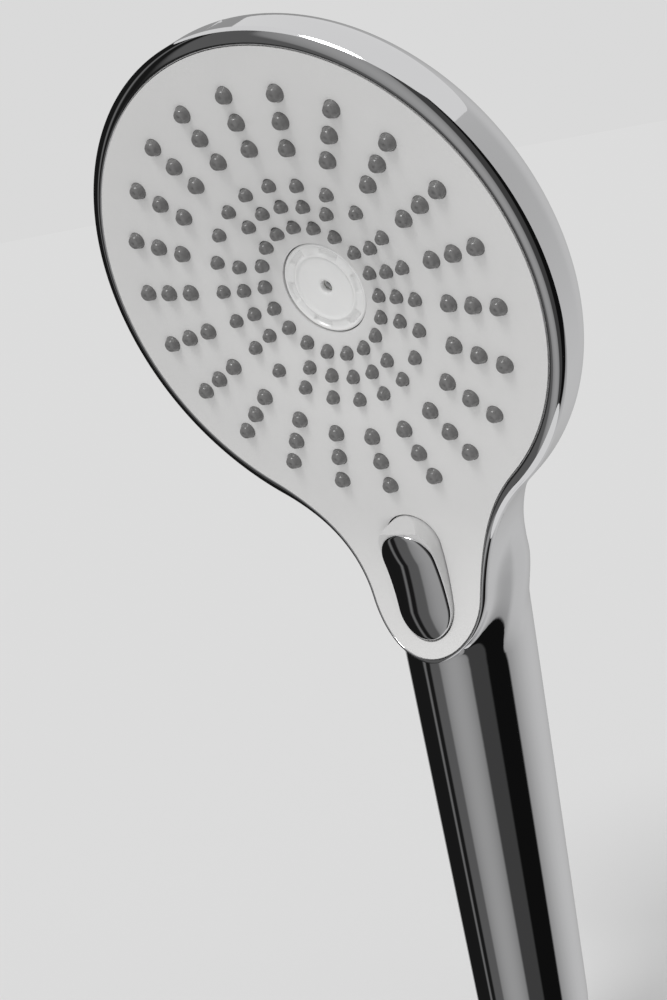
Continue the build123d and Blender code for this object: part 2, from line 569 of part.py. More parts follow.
with BuildPart() as plunger_seal:
    bar(FACE, BOSS_TOP_Z - BOSS_SEAL_THICK, BOSS_TOP_Z, BOSS_SEAL_RADIUS,
        PLUNGER_RADIUS + PLUNGER_LIP, spots=plunger_spot)
export(plunger_seal, "plunger_seal")

with BuildPart() as drive_plunger:
    bar(FACE, PLUNGER_LOW_Z, BUTTON_UNDER_Z - PLUNGER_GAP, PLUNGER_RADIUS, spots=plunger_spot)
    bar(FACE, BUTTON_UNDER_Z - PLUNGER_GAP - PLUNGER_HEAD, BUTTON_UNDER_Z - PLUNGER_GAP,
        PLUNGER_HEAD_RADIUS, spots=plunger_spot)
export(drive_plunger, "drive_plunger")

# ----------------------------------------------------------------------- button
CAP_THICK = 1.2
BUTTON_HEEL_Y = BUTTON_LOW_Y + BUTTON_GAP
BUTTON_NOSE_Y = BUTTON_TOP_Y - BUTTON_GAP
CAP_SETBACK = 2.3           # the nose slopes back under the cap
CAP_NOSE_Y = BUTTON_NOSE_Y - CAP_SETBACK
BUTTON_TOP = ((CAP_NOSE_Y, 6.0), (-75.5, 5.9), (BUTTON_HEEL_Y, 9.8))
CHEEK_X, CHEEK_THICK = 8.7, 1.2
CHEEK_EYE, CHEEK_FOOT = 2.0, 3.6
YOKE_Z = -3.0               # top of the bar that joins the cheeks
LEG_WIDTH, LEG_LENGTH, LEG_DEPTH, LEG_MIDDLE = 6.0, 8.0, 8.0, (-86.0, -7.0)
BUTTON_WIDTH = 2 * BUTTON_HALF_WIDTH - 0.6
PIN_CLEARANCE = 0.05
HEEL_Z, BELLY_Y = 2.2, -80.0                # underside of the button


def button_slab(drop, thick):
    """Side view of the button between its saddle-shaped top and a lower line."""
    nose, saddle, heel = [(y, z - drop) for y, z in BUTTON_TOP]
    with BuildLine() as line:
        ThreePointArc(nose, saddle, heel)
        if thick:
            Polyline(heel, (heel[0], heel[1] - thick))
            ThreePointArc((heel[0], heel[1] - thick), (saddle[0], saddle[1] - thick),
                          (nose[0], nose[1] - thick))
            Line((nose[0], nose[1] - thick), nose)
        else:
            Polyline(heel, (heel[0], HEEL_Z), (BELLY_Y, BUTTON_UNDER_Z), (BUTTON_NOSE_Y, BUTTON_UNDER_Z),
                     (BUTTON_NOSE_Y, 0.0), nose)
    return line.edges()


def slot_view(nose_y, heel_y, half_width):
    """Front view of the button: a slot with round ends."""
    with BuildSketch() as view:
        with Locations((0, (nose_y + heel_y) / 2)):
            SlotOverall(nose_y - heel_y, 2 * half_width, rotation=90)
    return view.edges()


with BuildPart() as button_body:
    sheet(button_slab(CAP_THICK, 0), slot_view(BUTTON_NOSE_Y, BUTTON_HEEL_Y, BUTTON_WIDTH / 2))
    bar(SIDE, -HEAD_RADIUS, HEAD_RADIUS, PIN_RADIUS + PIN_CLEARANCE, spots=((PIN_Y, PIN_Z),),
        mode=Mode.SUBTRACT)
    bar(FACE, BUTTON_UNDER_Z - 1, BUTTON_UNDER_Z + SPRING_POCKET, SPRING_RADIUS + SPRING_COVER,
        spots=((0, SPRING_Y),), mode=Mode.SUBTRACT)
export(button_body, "button_body")

with BuildPart() as button_cap:
    sheet(button_slab(0, CAP_THICK), slot_view(CAP_NOSE_Y, BUTTON_HEEL_Y, BUTTON_WIDTH / 2))
export(button_cap, "button_cap")

with BuildPart() as hinge_pin:
    bar(SIDE, -CHEEK_X - CHEEK_THICK, CHEEK_X + CHEEK_THICK, PIN_RADIUS, spots=((PIN_Y, PIN_Z),))
export(hinge_pin, "hinge_pin")

with BuildPart() as button_bracket:
    with BuildSketch(SIDE.offset(-CHEEK_X - CHEEK_THICK)) as cheek:
        with Locations((PIN_Y, (PIN_Z - CHEEK_FOOT) / 2)):
            Rectangle(2 * CHEEK_EYE, PIN_Z + CHEEK_FOOT)
        with Locations((PIN_Y, PIN_Z)):
            Circle(CHEEK_EYE)
    extrude(cheek.sketch, amount=2 * (CHEEK_X + CHEEK_THICK))
    with BuildSketch(SIDE.offset(-CHEEK_X)) as gap:
        with Locations((PIN_Y, YOKE_Z + CUT_CLEAR_Z / 2)):
            Rectangle(6 * CHEEK_EYE, CUT_CLEAR_Z)
    extrude(gap.sketch, amount=2 * CHEEK_X, mode=Mode.SUBTRACT)
    with BuildSketch(SIDE.offset(-LEG_WIDTH / 2)) as leg:
        with Locations(LEG_MIDDLE):
            Rectangle(LEG_LENGTH, LEG_DEPTH)
    extrude(leg.sketch, amount=LEG_WIDTH)
    bar(SELECTOR, HOUSING_END_Y - SOCKET_LENGTH, HOUSING_TOP_Y, SELECTOR_RADIUS, mode=Mode.SUBTRACT)
    bar(TUBE, -SOCKET_START, SOCKET_LENGTH + CHEEK_THICK, SOCKET_RADIUS, mode=Mode.SUBTRACT)
    bar(SIDE, -HEAD_RADIUS, HEAD_RADIUS, PIN_RADIUS, spots=((PIN_Y, PIN_Z),), mode=Mode.SUBTRACT)
export(button_bracket, "button_bracket")

with BuildPart() as button_spring:
    seat = FACE.from_local_coords((0, SPRING_Y, SPRING_SEAT_Z + SPRING_WIRE / 2))
    height = BUTTON_UNDER_Z + SPRING_POCKET - SPRING_SEAT_Z - SPRING_WIRE
    with BuildLine() as coil:
        Helix(height / SPRING_TURNS, height, SPRING_RADIUS - SPRING_WIRE / 2, center=seat,
              direction=FACE.z_dir)
    with BuildSketch(Plane(coil.line @ 0, z_dir=coil.line % 0)):
        Circle(SPRING_WIRE / 2)
    sweep(is_frenet=True)
export(button_spring, "button_spring")

# ------------------------------------------------------------- handle and inlet
SEAL_WIDTH, SEAL_DEPTH = 1.4, 0.7
UPPER_SEAL, LOWER_SEAL = 6.0, 3.4
THREAD_PITCH, THREAD_DEPTH = 1.814, 1.0
INLET_TOP_Z = HANDLE_END_Z + SEAT_LENGTH
THREAD_START, THREAD_TURNS = 1.0, 4
STRAINER_Z, LIMITER_Z, SHELF_Z = 6.0, 8.0, 11.5
INLET_SEAL_Z = 20.0
COLLAR_THICK, COLLAR_RADIUS = 1.2, HANDLE_END_RADIUS - 0.6
CONNECTOR_BORE, TUBE_SOCKET = 3.6, 14.0
LIMITER_WALL, LIMITER_ROOF, LIMITER_HUB = 1.2, 1.0, 2.2
LIMITER_CIRCLE, LIMITER_HOLES, LIMITER_HOLE = 3.4, 8, 0.8
MESH_PITCH, MESH_COUNT, MESH_HOLE, MESH_THICK = 1.5, 7, 0.9, 0.6

with BuildPart() as water_tube:
    bar(TUBE, SOCKET_STEP, TUBE_LENGTH, TUBE_RADIUS, TUBE_BORE)
    for start in (UPPER_SEAL, TUBE_LENGTH - LOWER_SEAL - SEAL_WIDTH):
        bar(TUBE, start, start + SEAL_WIDTH, TUBE_RADIUS, TUBE_RADIUS - SEAL_DEPTH,
            mode=Mode.SUBTRACT)
export(water_tube, "water_tube")

with BuildPart() as tube_seals:
    for start in (UPPER_SEAL, TUBE_LENGTH - LOWER_SEAL - SEAL_WIDTH):
        bar(TUBE, start, start + SEAL_WIDTH, TUBE_RADIUS, TUBE_RADIUS - SEAL_DEPTH)
export(tube_seals, "tube_seals")

with BuildPart() as inlet_connector:
    bar(Plane.XY, 0, HANDLE_END_Z, INLET_THREAD_RADIUS)
    bar(Plane.XY, HANDLE_END_Z - COLLAR_THICK, HANDLE_END_Z, COLLAR_RADIUS)
    bar(Plane.XY, HANDLE_END_Z, INLET_TOP_Z, SEAT_BORE)
    bar(Plane.XY, INLET_SEAL_Z, INLET_SEAL_Z + SEAL_WIDTH, SEAT_BORE, SEAT_BORE - SEAL_DEPTH,
        mode=Mode.SUBTRACT)
    bar(Plane.XY, 0, SHELF_Z, INLET_BORE, mode=Mode.SUBTRACT)
    bar(Plane.XY, 0, INLET_TOP_Z, CONNECTOR_BORE, mode=Mode.SUBTRACT)
    bar(TUBE, TUBE_LENGTH - TUBE_SOCKET, TUBE_LENGTH, TUBE_RADIUS, mode=Mode.SUBTRACT)
    for turn in range(THREAD_TURNS):
        ring_z = THREAD_START + turn * THREAD_PITCH
        bar(Plane.XY, ring_z, ring_z + THREAD_PITCH / 2, INLET_THREAD_RADIUS + THREAD_DEPTH,
            INLET_THREAD_RADIUS - THREAD_DEPTH, mode=Mode.SUBTRACT)
export(inlet_connector, "inlet_connector")

with BuildPart() as inlet_seal:
    bar(Plane.XY, INLET_SEAL_Z, INLET_SEAL_Z + SEAL_WIDTH, SEAT_BORE, SEAT_BORE - SEAL_DEPTH)
export(inlet_seal, "inlet_seal")

with BuildPart() as flow_limiter:
    bar(Plane.XY, LIMITER_Z, SHELF_Z, INLET_BORE)
    bar(Plane.XY, LIMITER_Z, SHELF_Z - LIMITER_ROOF, INLET_BORE - LIMITER_WALL, LIMITER_HUB,
        mode=Mode.SUBTRACT)
    with BuildSketch(Plane.XY.offset(LIMITER_Z)) as slots:
        with PolarLocations(LIMITER_CIRCLE, LIMITER_HOLES):
            Circle(LIMITER_HOLE)
    extrude(slots.sketch, amount=SHELF_Z - LIMITER_Z, mode=Mode.SUBTRACT)
export(flow_limiter, "flow_limiter")

with BuildPart() as inlet_strainer:
    bar(Plane.XY, STRAINER_Z, LIMITER_Z, INLET_BORE, INLET_BORE - LIMITER_WALL)
    with BuildSketch(Plane.XY.offset(STRAINER_Z)) as mesh:
        Circle(INLET_BORE - LIMITER_ROOF)
        with GridLocations(MESH_PITCH, MESH_PITCH, MESH_COUNT, MESH_COUNT):
            Rectangle(MESH_HOLE, MESH_HOLE, mode=Mode.SUBTRACT)
    extrude(mesh.sketch, amount=MESH_THICK)
export(inlet_strainer, "inlet_strainer")
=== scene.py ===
"""Looks of a handheld shower head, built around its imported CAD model.

Every length in the classes is in millimetres in the frame of the spray face
(X across, Y up the face, Z out of it) unless a name says otherwise; meshes are
made in metres in the frame of the CAD model.
"""

import json
import logging
import math
from dataclasses import dataclass, field
from enum import Enum

import bmesh
import bpy
import numpy as np
from mathutils import Euler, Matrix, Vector


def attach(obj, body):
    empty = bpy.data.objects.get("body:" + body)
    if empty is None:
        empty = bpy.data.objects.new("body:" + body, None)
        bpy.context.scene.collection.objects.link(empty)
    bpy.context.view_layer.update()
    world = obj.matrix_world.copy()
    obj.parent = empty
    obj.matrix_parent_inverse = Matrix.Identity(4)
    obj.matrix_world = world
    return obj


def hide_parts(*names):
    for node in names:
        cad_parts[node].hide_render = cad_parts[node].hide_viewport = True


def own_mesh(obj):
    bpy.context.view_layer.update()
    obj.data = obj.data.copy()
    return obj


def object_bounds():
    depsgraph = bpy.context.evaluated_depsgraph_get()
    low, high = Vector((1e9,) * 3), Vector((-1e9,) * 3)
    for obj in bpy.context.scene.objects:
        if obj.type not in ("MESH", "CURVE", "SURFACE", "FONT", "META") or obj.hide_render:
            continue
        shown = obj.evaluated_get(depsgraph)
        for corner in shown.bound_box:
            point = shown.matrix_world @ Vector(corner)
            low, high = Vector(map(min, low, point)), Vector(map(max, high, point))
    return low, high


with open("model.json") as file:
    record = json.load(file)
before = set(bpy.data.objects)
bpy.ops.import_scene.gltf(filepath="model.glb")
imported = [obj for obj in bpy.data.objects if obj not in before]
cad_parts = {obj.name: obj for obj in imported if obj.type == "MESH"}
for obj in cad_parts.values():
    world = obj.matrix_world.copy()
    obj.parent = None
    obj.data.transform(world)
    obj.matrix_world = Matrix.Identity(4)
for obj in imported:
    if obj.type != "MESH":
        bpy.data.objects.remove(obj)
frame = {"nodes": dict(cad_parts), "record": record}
CAD_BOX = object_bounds()
MM = 0.001
LOG = logging.getLogger("shower")


class Body(Enum):
    """The moving bodies of the shower head."""

    SHELL = "shower_body"
    BUTTON = "button"
    PLUNGER = "plunger"
    ROTOR = "rotor"
    TURBINE = "turbine"


@dataclass(frozen=True)
class FaceFrame:
    """The frame of the spray face, tilted down from the handle axis."""

    tilt: float = 18.5
    forward: float = 35.9
    height: float = 222.0

    def to_row(self, points: np.ndarray) -> np.ndarray:
        """Turns face points in millimetres into model points in metres.

        Args:
            points: array whose last axis is x, y, z over the spray face.

        Returns:
            The same points in the frame of the model, in metres.
        """
        c, s = math.cos(math.radians(self.tilt)), math.sin(math.radians(self.tilt))
        x, y, z = np.moveaxis(np.asarray(points, float), -1, 0)
        out = np.stack([x, -self.forward - s * y - c * z, self.height + c * y - s * z], -1)
        return out * MM

    def to_face(self, points: np.ndarray) -> np.ndarray:
        """Turns model points in millimetres into face points in millimetres.

        Args:
            points: array whose last axis is x, y, z in the model frame.

        Returns:
            The same points over the spray face.
        """
        c, s = math.cos(math.radians(self.tilt)), math.sin(math.radians(self.tilt))
        x, y, z = np.moveaxis(np.asarray(points, float), -1, 0)
        y, z = y + self.forward, z - self.height
        return np.stack([x, -s * y + c * z, -c * y - s * z], -1)


FACE = FaceFrame()


@dataclass(frozen=True)
class Keyhole:
    """Outline of the front: round head, hollow blends into the neck, round tip."""

    head: float
    blend: float
    tip: float
    tip_y: float

    def arcs(self) -> tuple[float, tuple[float, float], float]:
        """Joins of the outline.

        Returns:
            Angle of the head join, centre of the right blend, angle of the tip join.
        """
        reach = self.head + self.blend
        turn = math.asin(((self.blend + self.tip) ** 2 - reach ** 2 - self.tip_y ** 2)
                         / (-2 * reach * self.tip_y))
        middle = (reach * math.cos(turn), reach * math.sin(turn))
        return turn, middle, math.atan2(middle[1] - self.tip_y, middle[0])

    def right_side(self, head_steps: int, blend_steps: int, tip_steps: int) -> np.ndarray:
        """Points down the right side, from the top of the head to the tip.

        Args:
            head_steps: steps round the head.
            blend_steps: steps along the hollow blend.
            tip_steps: steps round the tip.

        Returns:
            Array of x, y points, top first and tip last.
        """
        turn, middle, lower = self.arcs()
        head = np.linspace(math.pi / 2, turn, head_steps, endpoint=False)
        hollow = np.linspace(turn + math.pi, lower + math.pi, blend_steps, endpoint=False)
        tip = np.linspace(lower, -math.pi / 2, tip_steps + 1)
        parts = [self.head * np.stack([np.cos(head), np.sin(head)], -1),
                 np.array(middle) + self.blend * np.stack([np.cos(hollow), np.sin(hollow)], -1),
                 np.array((0, self.tip_y)) + self.tip * np.stack([np.cos(tip), np.sin(tip)], -1)]
        return np.concatenate(parts)

    def loop(self, head_steps: int, blend_steps: int, tip_steps: int) -> np.ndarray:
        """The whole outline as a closed ring of points, clockwise from the top."""
        right = self.right_side(head_steps, blend_steps, tip_steps)
        left = right[-2:0:-1] * (-1, 1)
        return np.concatenate([right, left])

    def distance(self, x: np.ndarray, y: np.ndarray) -> np.ndarray:
        """Signed distance to the outline, negative inside.

        Args:
            x: face coordinates across.
            y: face coordinates up.

        Returns:
            Distance of each point in millimetres.
        """
        turn, middle, lower = self.arcs()
        x = np.abs(x)
        plain = np.minimum(np.hypot(x, y) - self.head, np.hypot(x, y - self.tip_y) - self.tip)
        dx, dy = x - middle[0], y - middle[1]
        angle = np.arctan2(dy, dx) % (2 * math.pi)
        low, high = sorted(((turn + math.pi) % (2 * math.pi), (lower + math.pi) % (2 * math.pi)))
        inside = (angle > low) & (angle < high)
        return np.where(inside, self.blend - np.hypot(dx, dy), plain)


PLATE = Keyhole(61.2, 54.0, 16.7, -78.0)
RIM = Keyhole(65.0, 46.0, 18.2, -77.6)


@dataclass(frozen=True)
class FrontSurface:
    """The surface of the spray plate: a shallow dish, and a tongue that bends forward."""

    dish_radius: float = 54.0
    dish_curve: float = 170.0
    tongue_y: float = -58.6
    bend: float = 62.7

    def height(self, x: np.ndarray, y: np.ndarray, depth: float = 0.0) -> np.ndarray:
        """Height of the surface, or of the surface a depth below it.

        Args:
            x: face coordinates across.
            y: face coordinates up.
            depth: distance under the surface.

        Returns:
            Height of each point over the face plane.
        """
        inside = np.maximum(self.dish_radius - np.hypot(x, y), 0)
        run = np.minimum(y - self.tongue_y, 0)
        rise = self.bend - np.sqrt((self.bend + depth) ** 2 - run ** 2)
        return rise - inside ** 2 / (2 * self.dish_curve)


SURFACE = FrontSurface()
OFF_DISH = 99.0  # a place across the face that lies outside the dish


@dataclass(frozen=True)
class Grip:
    """The tapered handle as heights over the inlet and radii, in the model frame."""

    heights: tuple[float, ...] = (10.0, 30.0, 150.0, 178.0, 188.0, 200.0)
    radii: tuple[float, ...] = (13.0, 14.4, 17.16, 8.0, 1.0, -20.0)

    def radius(self, height: np.ndarray) -> np.ndarray:
        """Radius of the handle at a height."""
        return np.interp(height, self.heights, self.radii)

    def front(self, x: np.ndarray, y: np.ndarray) -> np.ndarray:
        """Finds where the handle's front lies over the face.

        Args:
            x: face coordinates across.
            y: face coordinates up.

        Returns:
            Height of the handle's front over the face plane.
        """
        c, s = math.cos(math.radians(FACE.tilt)), math.sin(math.radians(FACE.tilt))
        z = 0 * y
        for _ in range(4):
            across = self.radius(FACE.height + c * y - s * z) ** 2 - x ** 2
            z = (np.sqrt(np.maximum(across, 0)) - FACE.forward - s * y) / c
        return z


GRIP = Grip()
RIM_DEEP, RIM_THIN = 1.7, 0.35


def rim_depth(x: np.ndarray, y: np.ndarray) -> np.ndarray:
    """Depth of the casing's rim under the plate surface; it thins out on the handle.

    Args:
        x: face coordinates across.
        y: face coordinates up.

    Returns:
        Depth of each point in millimetres.
    """
    x, y = np.asarray(x, float), np.asarray(y, float)
    over = SURFACE.height(0 * x + OFF_DISH, y) - GRIP.front(x, y)
    return np.where(y < RIM.tip_y, np.clip(over, RIM_THIN, RIM_DEEP), RIM_DEEP)


def smooth_min(a: np.ndarray, b: np.ndarray, soft: float) -> np.ndarray:
    """Blend of two distances that rounds the hollow corner between them."""
    h = np.clip(0.5 + 0.5 * (b - a) / soft, 0, 1)
    return b + (a - b) * h - soft * h * (1 - h)


def round_join(a: np.ndarray, b: np.ndarray, radius: float) -> np.ndarray:
    """Distance to the corner of two walls, rounded to a true radius."""
    return (np.hypot(np.maximum(a + radius, 0), np.maximum(b + radius, 0)) - radius
            + np.minimum(np.maximum(a, b) + radius, 0))


# ------------------------------------------------------------------------- meshes
def new_mesh(name: str, points: np.ndarray, faces: list[tuple[int, ...]],
             merge: float = 2e-6, recalc: bool = True) -> bpy.types.Object:
    """Makes a mesh object at the origin, its doubles merged and faces outwards.

    Args:
        name: name of the piece.
        points: points in metres in the model frame.
        faces: tuples of point numbers.
        merge: distance under which points are merged, in metres.
        recalc: whether to turn the faces outwards.

    Returns:
        The linked object.
    """
    mesh = bpy.data.meshes.new(name)
    mesh.from_pydata([tuple(p) for p in np.asarray(points).reshape(-1, 3)], [], faces)
    bm = bmesh.new()
    bm.from_mesh(mesh)
    bmesh.ops.remove_doubles(bm, verts=bm.verts, dist=merge)
    bmesh.ops.dissolve_degenerate(bm, edges=bm.edges, dist=1e-7)
    if recalc:
        bmesh.ops.recalc_face_normals(bm, faces=bm.faces)
    for face in bm.faces:
        face.smooth = True
    bm.to_mesh(mesh)
    bm.free()
    piece = bpy.data.objects.new(name, mesh)
    bpy.context.scene.collection.objects.link(piece)
    return piece


def grid_faces(rows: int, columns: int, wrap_rows: bool = False,
               wrap_columns: bool = False) -> list[tuple[int, ...]]:
    """Quads of a grid of points stored row by row.

    Args:
        rows: number of rows.
        columns: points in each row.
        wrap_rows: whether the last row joins the first.
        wrap_columns: whether each row is a closed ring.

    Returns:
        The quads as tuples of point numbers.
    """
    quads = []
    for i in range(rows if wrap_rows else rows - 1):
        for j in range(columns if wrap_columns else columns - 1):
            a, b = i * columns + j, i * columns + (j + 1) % columns
            c = ((i + 1) % rows) * columns
            quads.append((a, b, c + (j + 1) % columns, c + j))
    return quads


def thicken(piece: bpy.types.Object, wall: float) -> None:
    """Turns a sheet's faces outwards and gives it a wall on its inner side.

    Args:
        piece: the sheet; its widest point tells which side is outside.
        wall: thickness in millimetres.
    """
    widest = max(piece.data.vertices, key=lambda v: v.co.x)
    if widest.normal.x < 0:
        piece.data.flip_normals()
    solid = piece.modifiers.new("wall", "SOLIDIFY")
    solid.thickness, solid.offset = wall * MM, -1.0
    bpy.context.view_layer.update()
    evaluated = piece.evaluated_get(bpy.context.evaluated_depsgraph_get())
    mesh = bpy.data.meshes.new_from_object(evaluated)
    piece.modifiers.clear()
    piece.data = mesh
    for polygon in mesh.polygons:
        polygon.use_smooth = True
    mesh.set_sharp_from_angle(angle=math.radians(40))


def dress(piece: bpy.types.Object, material: bpy.types.Material, slot: str, body: Body,
          *replaced: str) -> None:
    """Finishes a piece: material, body and the CAD nodes it stands for.

    Args:
        piece: the finished piece.
        material: its material.
        slot: the record's material slot; not used.
        body: the body it rides on.
        replaced: CAD nodes it replaces.
    """
    piece.data.materials.clear()
    piece.data.materials.append(material)
    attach(piece, body.value)
    if replaced:
        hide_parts(*replaced)
    LOG.info("built %s with %d faces", piece.name, len(piece.data.polygons))


# ---------------------------------------------------------------------- materials
def add_node(tree: bpy.types.NodeTree, kind: str, values: dict[str, object]) -> bpy.types.Node:
    """Adds a node to a tree and sets its properties."""
    made = tree.nodes.new(kind)
    for key, value in values.items():
        setattr(made, key, value)
    return made


class Shader:
    """A material with a Principled shader and short helpers to wire it."""

    def __init__(self, name: str) -> None:
        """Makes the material and finds its shader."""
        self.material = bpy.data.materials.new(name)
        self.material.use_nodes = True
        self.tree = self.material.node_tree
        self.tree.nodes.clear()
        self.out = self.node("ShaderNodeOutputMaterial")
        self.principled = self.node("ShaderNodeBsdfPrincipled")
        self.tree.links.new(self.principled.outputs[0], self.out.inputs[0])

    def node(self, kind: str, **values: object) -> bpy.types.Node:
        """Adds a node and sets its properties."""
        return add_node(self.tree, kind, values)

    def set(self, **values: object) -> None:
        """Sets the shader's own sockets; underscores stand for spaces."""
        for key, value in values.items():
            self.principled.inputs[key.replace("_", " ")].default_value = value

    def group(self, tree: bpy.types.NodeTree, **values: float) -> bpy.types.Node:
        """Places a shared effect, fed with the piece's own coordinates."""
        made = self.node("ShaderNodeGroup", node_tree=tree)
        for key, value in values.items():
            made.inputs[key.replace("_", " ")].default_value = value
        coordinates = self.node("ShaderNodeTexCoord")
        self.tree.links.new(coordinates.outputs["Object"], made.inputs["Vector"])
        return made

    def link(self, source: bpy.types.NodeSocket, target: str) -> None:
        """Joins an output to one of the shader's inputs."""
        self.tree.links.new(source, self.principled.inputs[target])

    def bump(self, height: bpy.types.NodeSocket, strength: float, distance: float) -> None:
        """Adds a bump from a height output.

        Args:
            height: output with the height.
            strength: strength of the bump.
            distance: distance of the bump in metres.
        """
        bump = self.node("ShaderNodeBump")
        bump.inputs["Strength"].default_value = strength
        bump.inputs["Distance"].default_value = distance
        self.tree.links.new(height, bump.inputs["Height"])
        self.tree.links.new(bump.outputs[0], self.principled.inputs["Normal"])


class EffectGroup:
    """A shader node group with named inputs and outputs."""

    def __init__(self, name: str) -> None:
        """Starts the group with its coordinate input."""
        self.tree = bpy.data.node_groups.new(name, "ShaderNodeTree")
        self.socket("Vector", "INPUT", "NodeSocketVector")
        self.inside = self.tree.nodes.new("NodeGroupInput")
        self.outside = self.tree.nodes.new("NodeGroupOutput")

    def socket(self, name: str, direction: str, kind: str = "NodeSocketFloat",
               default: float | None = None) -> None:
        """Adds an input or an output."""
        made = self.tree.interface.new_socket(name, in_out=direction, socket_type=kind)
        if default is not None:
            made.default_value = default

    def add(self, kind: str, **values: object) -> bpy.types.Node:
        """Adds a node and sets its properties."""
        return add_node(self.tree, kind, values)

    def join(self, source: bpy.types.NodeSocket, target: bpy.types.NodeSocket) -> None:
        """Links two sockets."""
        self.tree.links.new(source, target)

    def noise(self, scale: str, detail: float) -> bpy.types.Node:
        """Adds a noise texture whose scale is one of the group's inputs."""
        made = self.add("ShaderNodeTexNoise")
        made.inputs["Detail"].default_value = detail
        self.join(self.inside.outputs["Vector"], made.inputs["Vector"])
        self.join(self.inside.outputs[scale], made.inputs["Scale"])
        return made

    def spread(self, value: bpy.types.NodeSocket, low: bpy.types.NodeSocket,
               high: bpy.types.NodeSocket, start: float, end: float) -> bpy.types.Node:
        """Maps a texture value between two inputs of the group.

        Args:
            value: the texture value.
            low: socket with the value at the start.
            high: socket with the value at the end.
            start: texture value at the start.
            end: texture value at the end.

        Returns:
            The mapping node, whose output is Result.
        """
        made = self.add("ShaderNodeMapRange")
        made.inputs["From Min"].default_value = start
        made.inputs["From Max"].default_value = end
        self.join(value, made.inputs["Value"])
        self.join(low, made.inputs["To Min"])
        self.join(high, made.inputs["To Max"])
        return made


def wear_effect() -> bpy.types.NodeTree:
    """Soft smudges and fine marks in the gloss of a surface.

    Returns:
        A group with Roughness, Shade and Height outputs.
    """
    group = EffectGroup("handled_gloss")
    for name, default in (("Smudge Scale", 30.0), ("Mark Scale", 900.0), ("Gloss", 0.05),
                          ("Dull", 0.12), ("Dark", 0.95), ("Light", 1.0)):
        group.socket(name, "INPUT", default=default)
    for name in ("Roughness", "Shade", "Height"):
        group.socket(name, "OUTPUT")
    smudge = group.noise("Smudge Scale", 4.0)
    marks = group.noise("Mark Scale", 2.0)
    rough = group.spread(smudge.outputs[0], group.inside.outputs["Gloss"],
                         group.inside.outputs["Dull"], 0.42, 0.72)
    shade = group.spread(smudge.outputs[0], group.inside.outputs["Light"],
                         group.inside.outputs["Dark"], 0.35, 0.75)
    group.join(rough.outputs["Result"], group.outside.inputs["Roughness"])
    group.join(shade.outputs["Result"], group.outside.inputs["Shade"])
    group.join(marks.outputs[0], group.outside.inputs["Height"])
    return group.tree


@dataclass(frozen=True)
class Finish:
    """One finish of the shower head, with its gloss and its fine surface."""

    name: str
    color: tuple[float, float, float]
    metallic: float = 0.0
    gloss: float = 0.3
    dull: float = 0.4
    dark: float = 0.94
    smudge_scale: float = 40.0
    mark_scale: float = 1500.0
    bump: float = 0.05
    coat: float = 0.0
    clear: float = 0.0

    def build(self, effect: bpy.types.NodeTree) -> bpy.types.Material:
        """Makes the material.

        Args:
            effect: the shared wear effect.

        Returns:
            The finished material.
        """
        shader = Shader(self.name)
        shader.set(Metallic=self.metallic, Coat_Weight=self.coat, Transmission_Weight=self.clear)
        shader.principled.inputs["Coat Roughness"].default_value = 0.1
        wear = shader.group(effect, Smudge_Scale=self.smudge_scale, Mark_Scale=self.mark_scale,
                            Gloss=self.gloss, Dull=self.dull, Dark=self.dark, Light=1.0)
        shader.link(wear.outputs["Roughness"], "Roughness")
        tint = shader.node("ShaderNodeMix", data_type="RGBA", blend_type="MULTIPLY")
        tint.inputs[0].default_value = 1.0
        tint.inputs[6].default_value = (*self.color, 1.0)
        shader.tree.links.new(wear.outputs["Shade"], tint.inputs[7])
        shader.link(tint.outputs[2], "Base Color")
        if self.bump:
            shader.bump(wear.outputs["Height"], self.bump, 0.0001)
        return shader.material


FINISHES = {
    "chrome": Finish("bright_chrome", (0.86, 0.86, 0.87), 1.0, 0.025, 0.07, dark=0.97,
                     smudge_scale=25.0, mark_scale=1200.0, bump=0.01),
    "white_plate": Finish("satin_white", (0.655, 0.652, 0.648), 0.0, 0.33, 0.42, dark=0.975,
                          smudge_scale=60.0, mark_scale=2500.0, bump=0.12),
    "clear_disc": Finish("milky_disc", (0.78, 0.78, 0.775), 0.0, 0.16, 0.24, dark=0.96,
                         smudge_scale=90.0, mark_scale=2500.0, bump=0.05, coat=0.3),
    "button_white": Finish("satin_grey", (0.6, 0.598, 0.595), 0.0, 0.3, 0.4, dark=0.96,
                           smudge_scale=80.0, mark_scale=2500.0, bump=0.1),
    "grey_silicone": Finish("grey_silicone", (0.175, 0.173, 0.172), 0.0, 0.13, 0.2, dark=0.82,
                            smudge_scale=900.0, mark_scale=5000.0, bump=0.12),
    "engine_plastic": Finish("natural_plastic", (0.6, 0.6, 0.58), 0.0, 0.4, 0.5),
    "housing_plastic": Finish("black_plastic", (0.025, 0.025, 0.027), 0.0, 0.35, 0.5),
    "acetal": Finish("white_acetal", (0.8, 0.8, 0.77), 0.0, 0.3, 0.4),
    "steel": Finish("stainless", (0.55, 0.55, 0.56), 1.0, 0.2, 0.3),
    "seal_rubber": Finish("black_rubber", (0.02, 0.02, 0.02), 0.0, 0.5, 0.65),
    "plated_brass": Finish("plated_brass", (0.8, 0.8, 0.8), 1.0, 0.06, 0.16, dark=0.93,
                           smudge_scale=120.0, mark_scale=900.0, bump=0.04),
    "limiter_plastic": Finish("blue_plastic", (0.06, 0.16, 0.42), 0.0, 0.3, 0.4),
    "strainer_plastic": Finish("strainer_plastic", (0.75, 0.75, 0.72), 0.0, 0.4, 0.5),
}


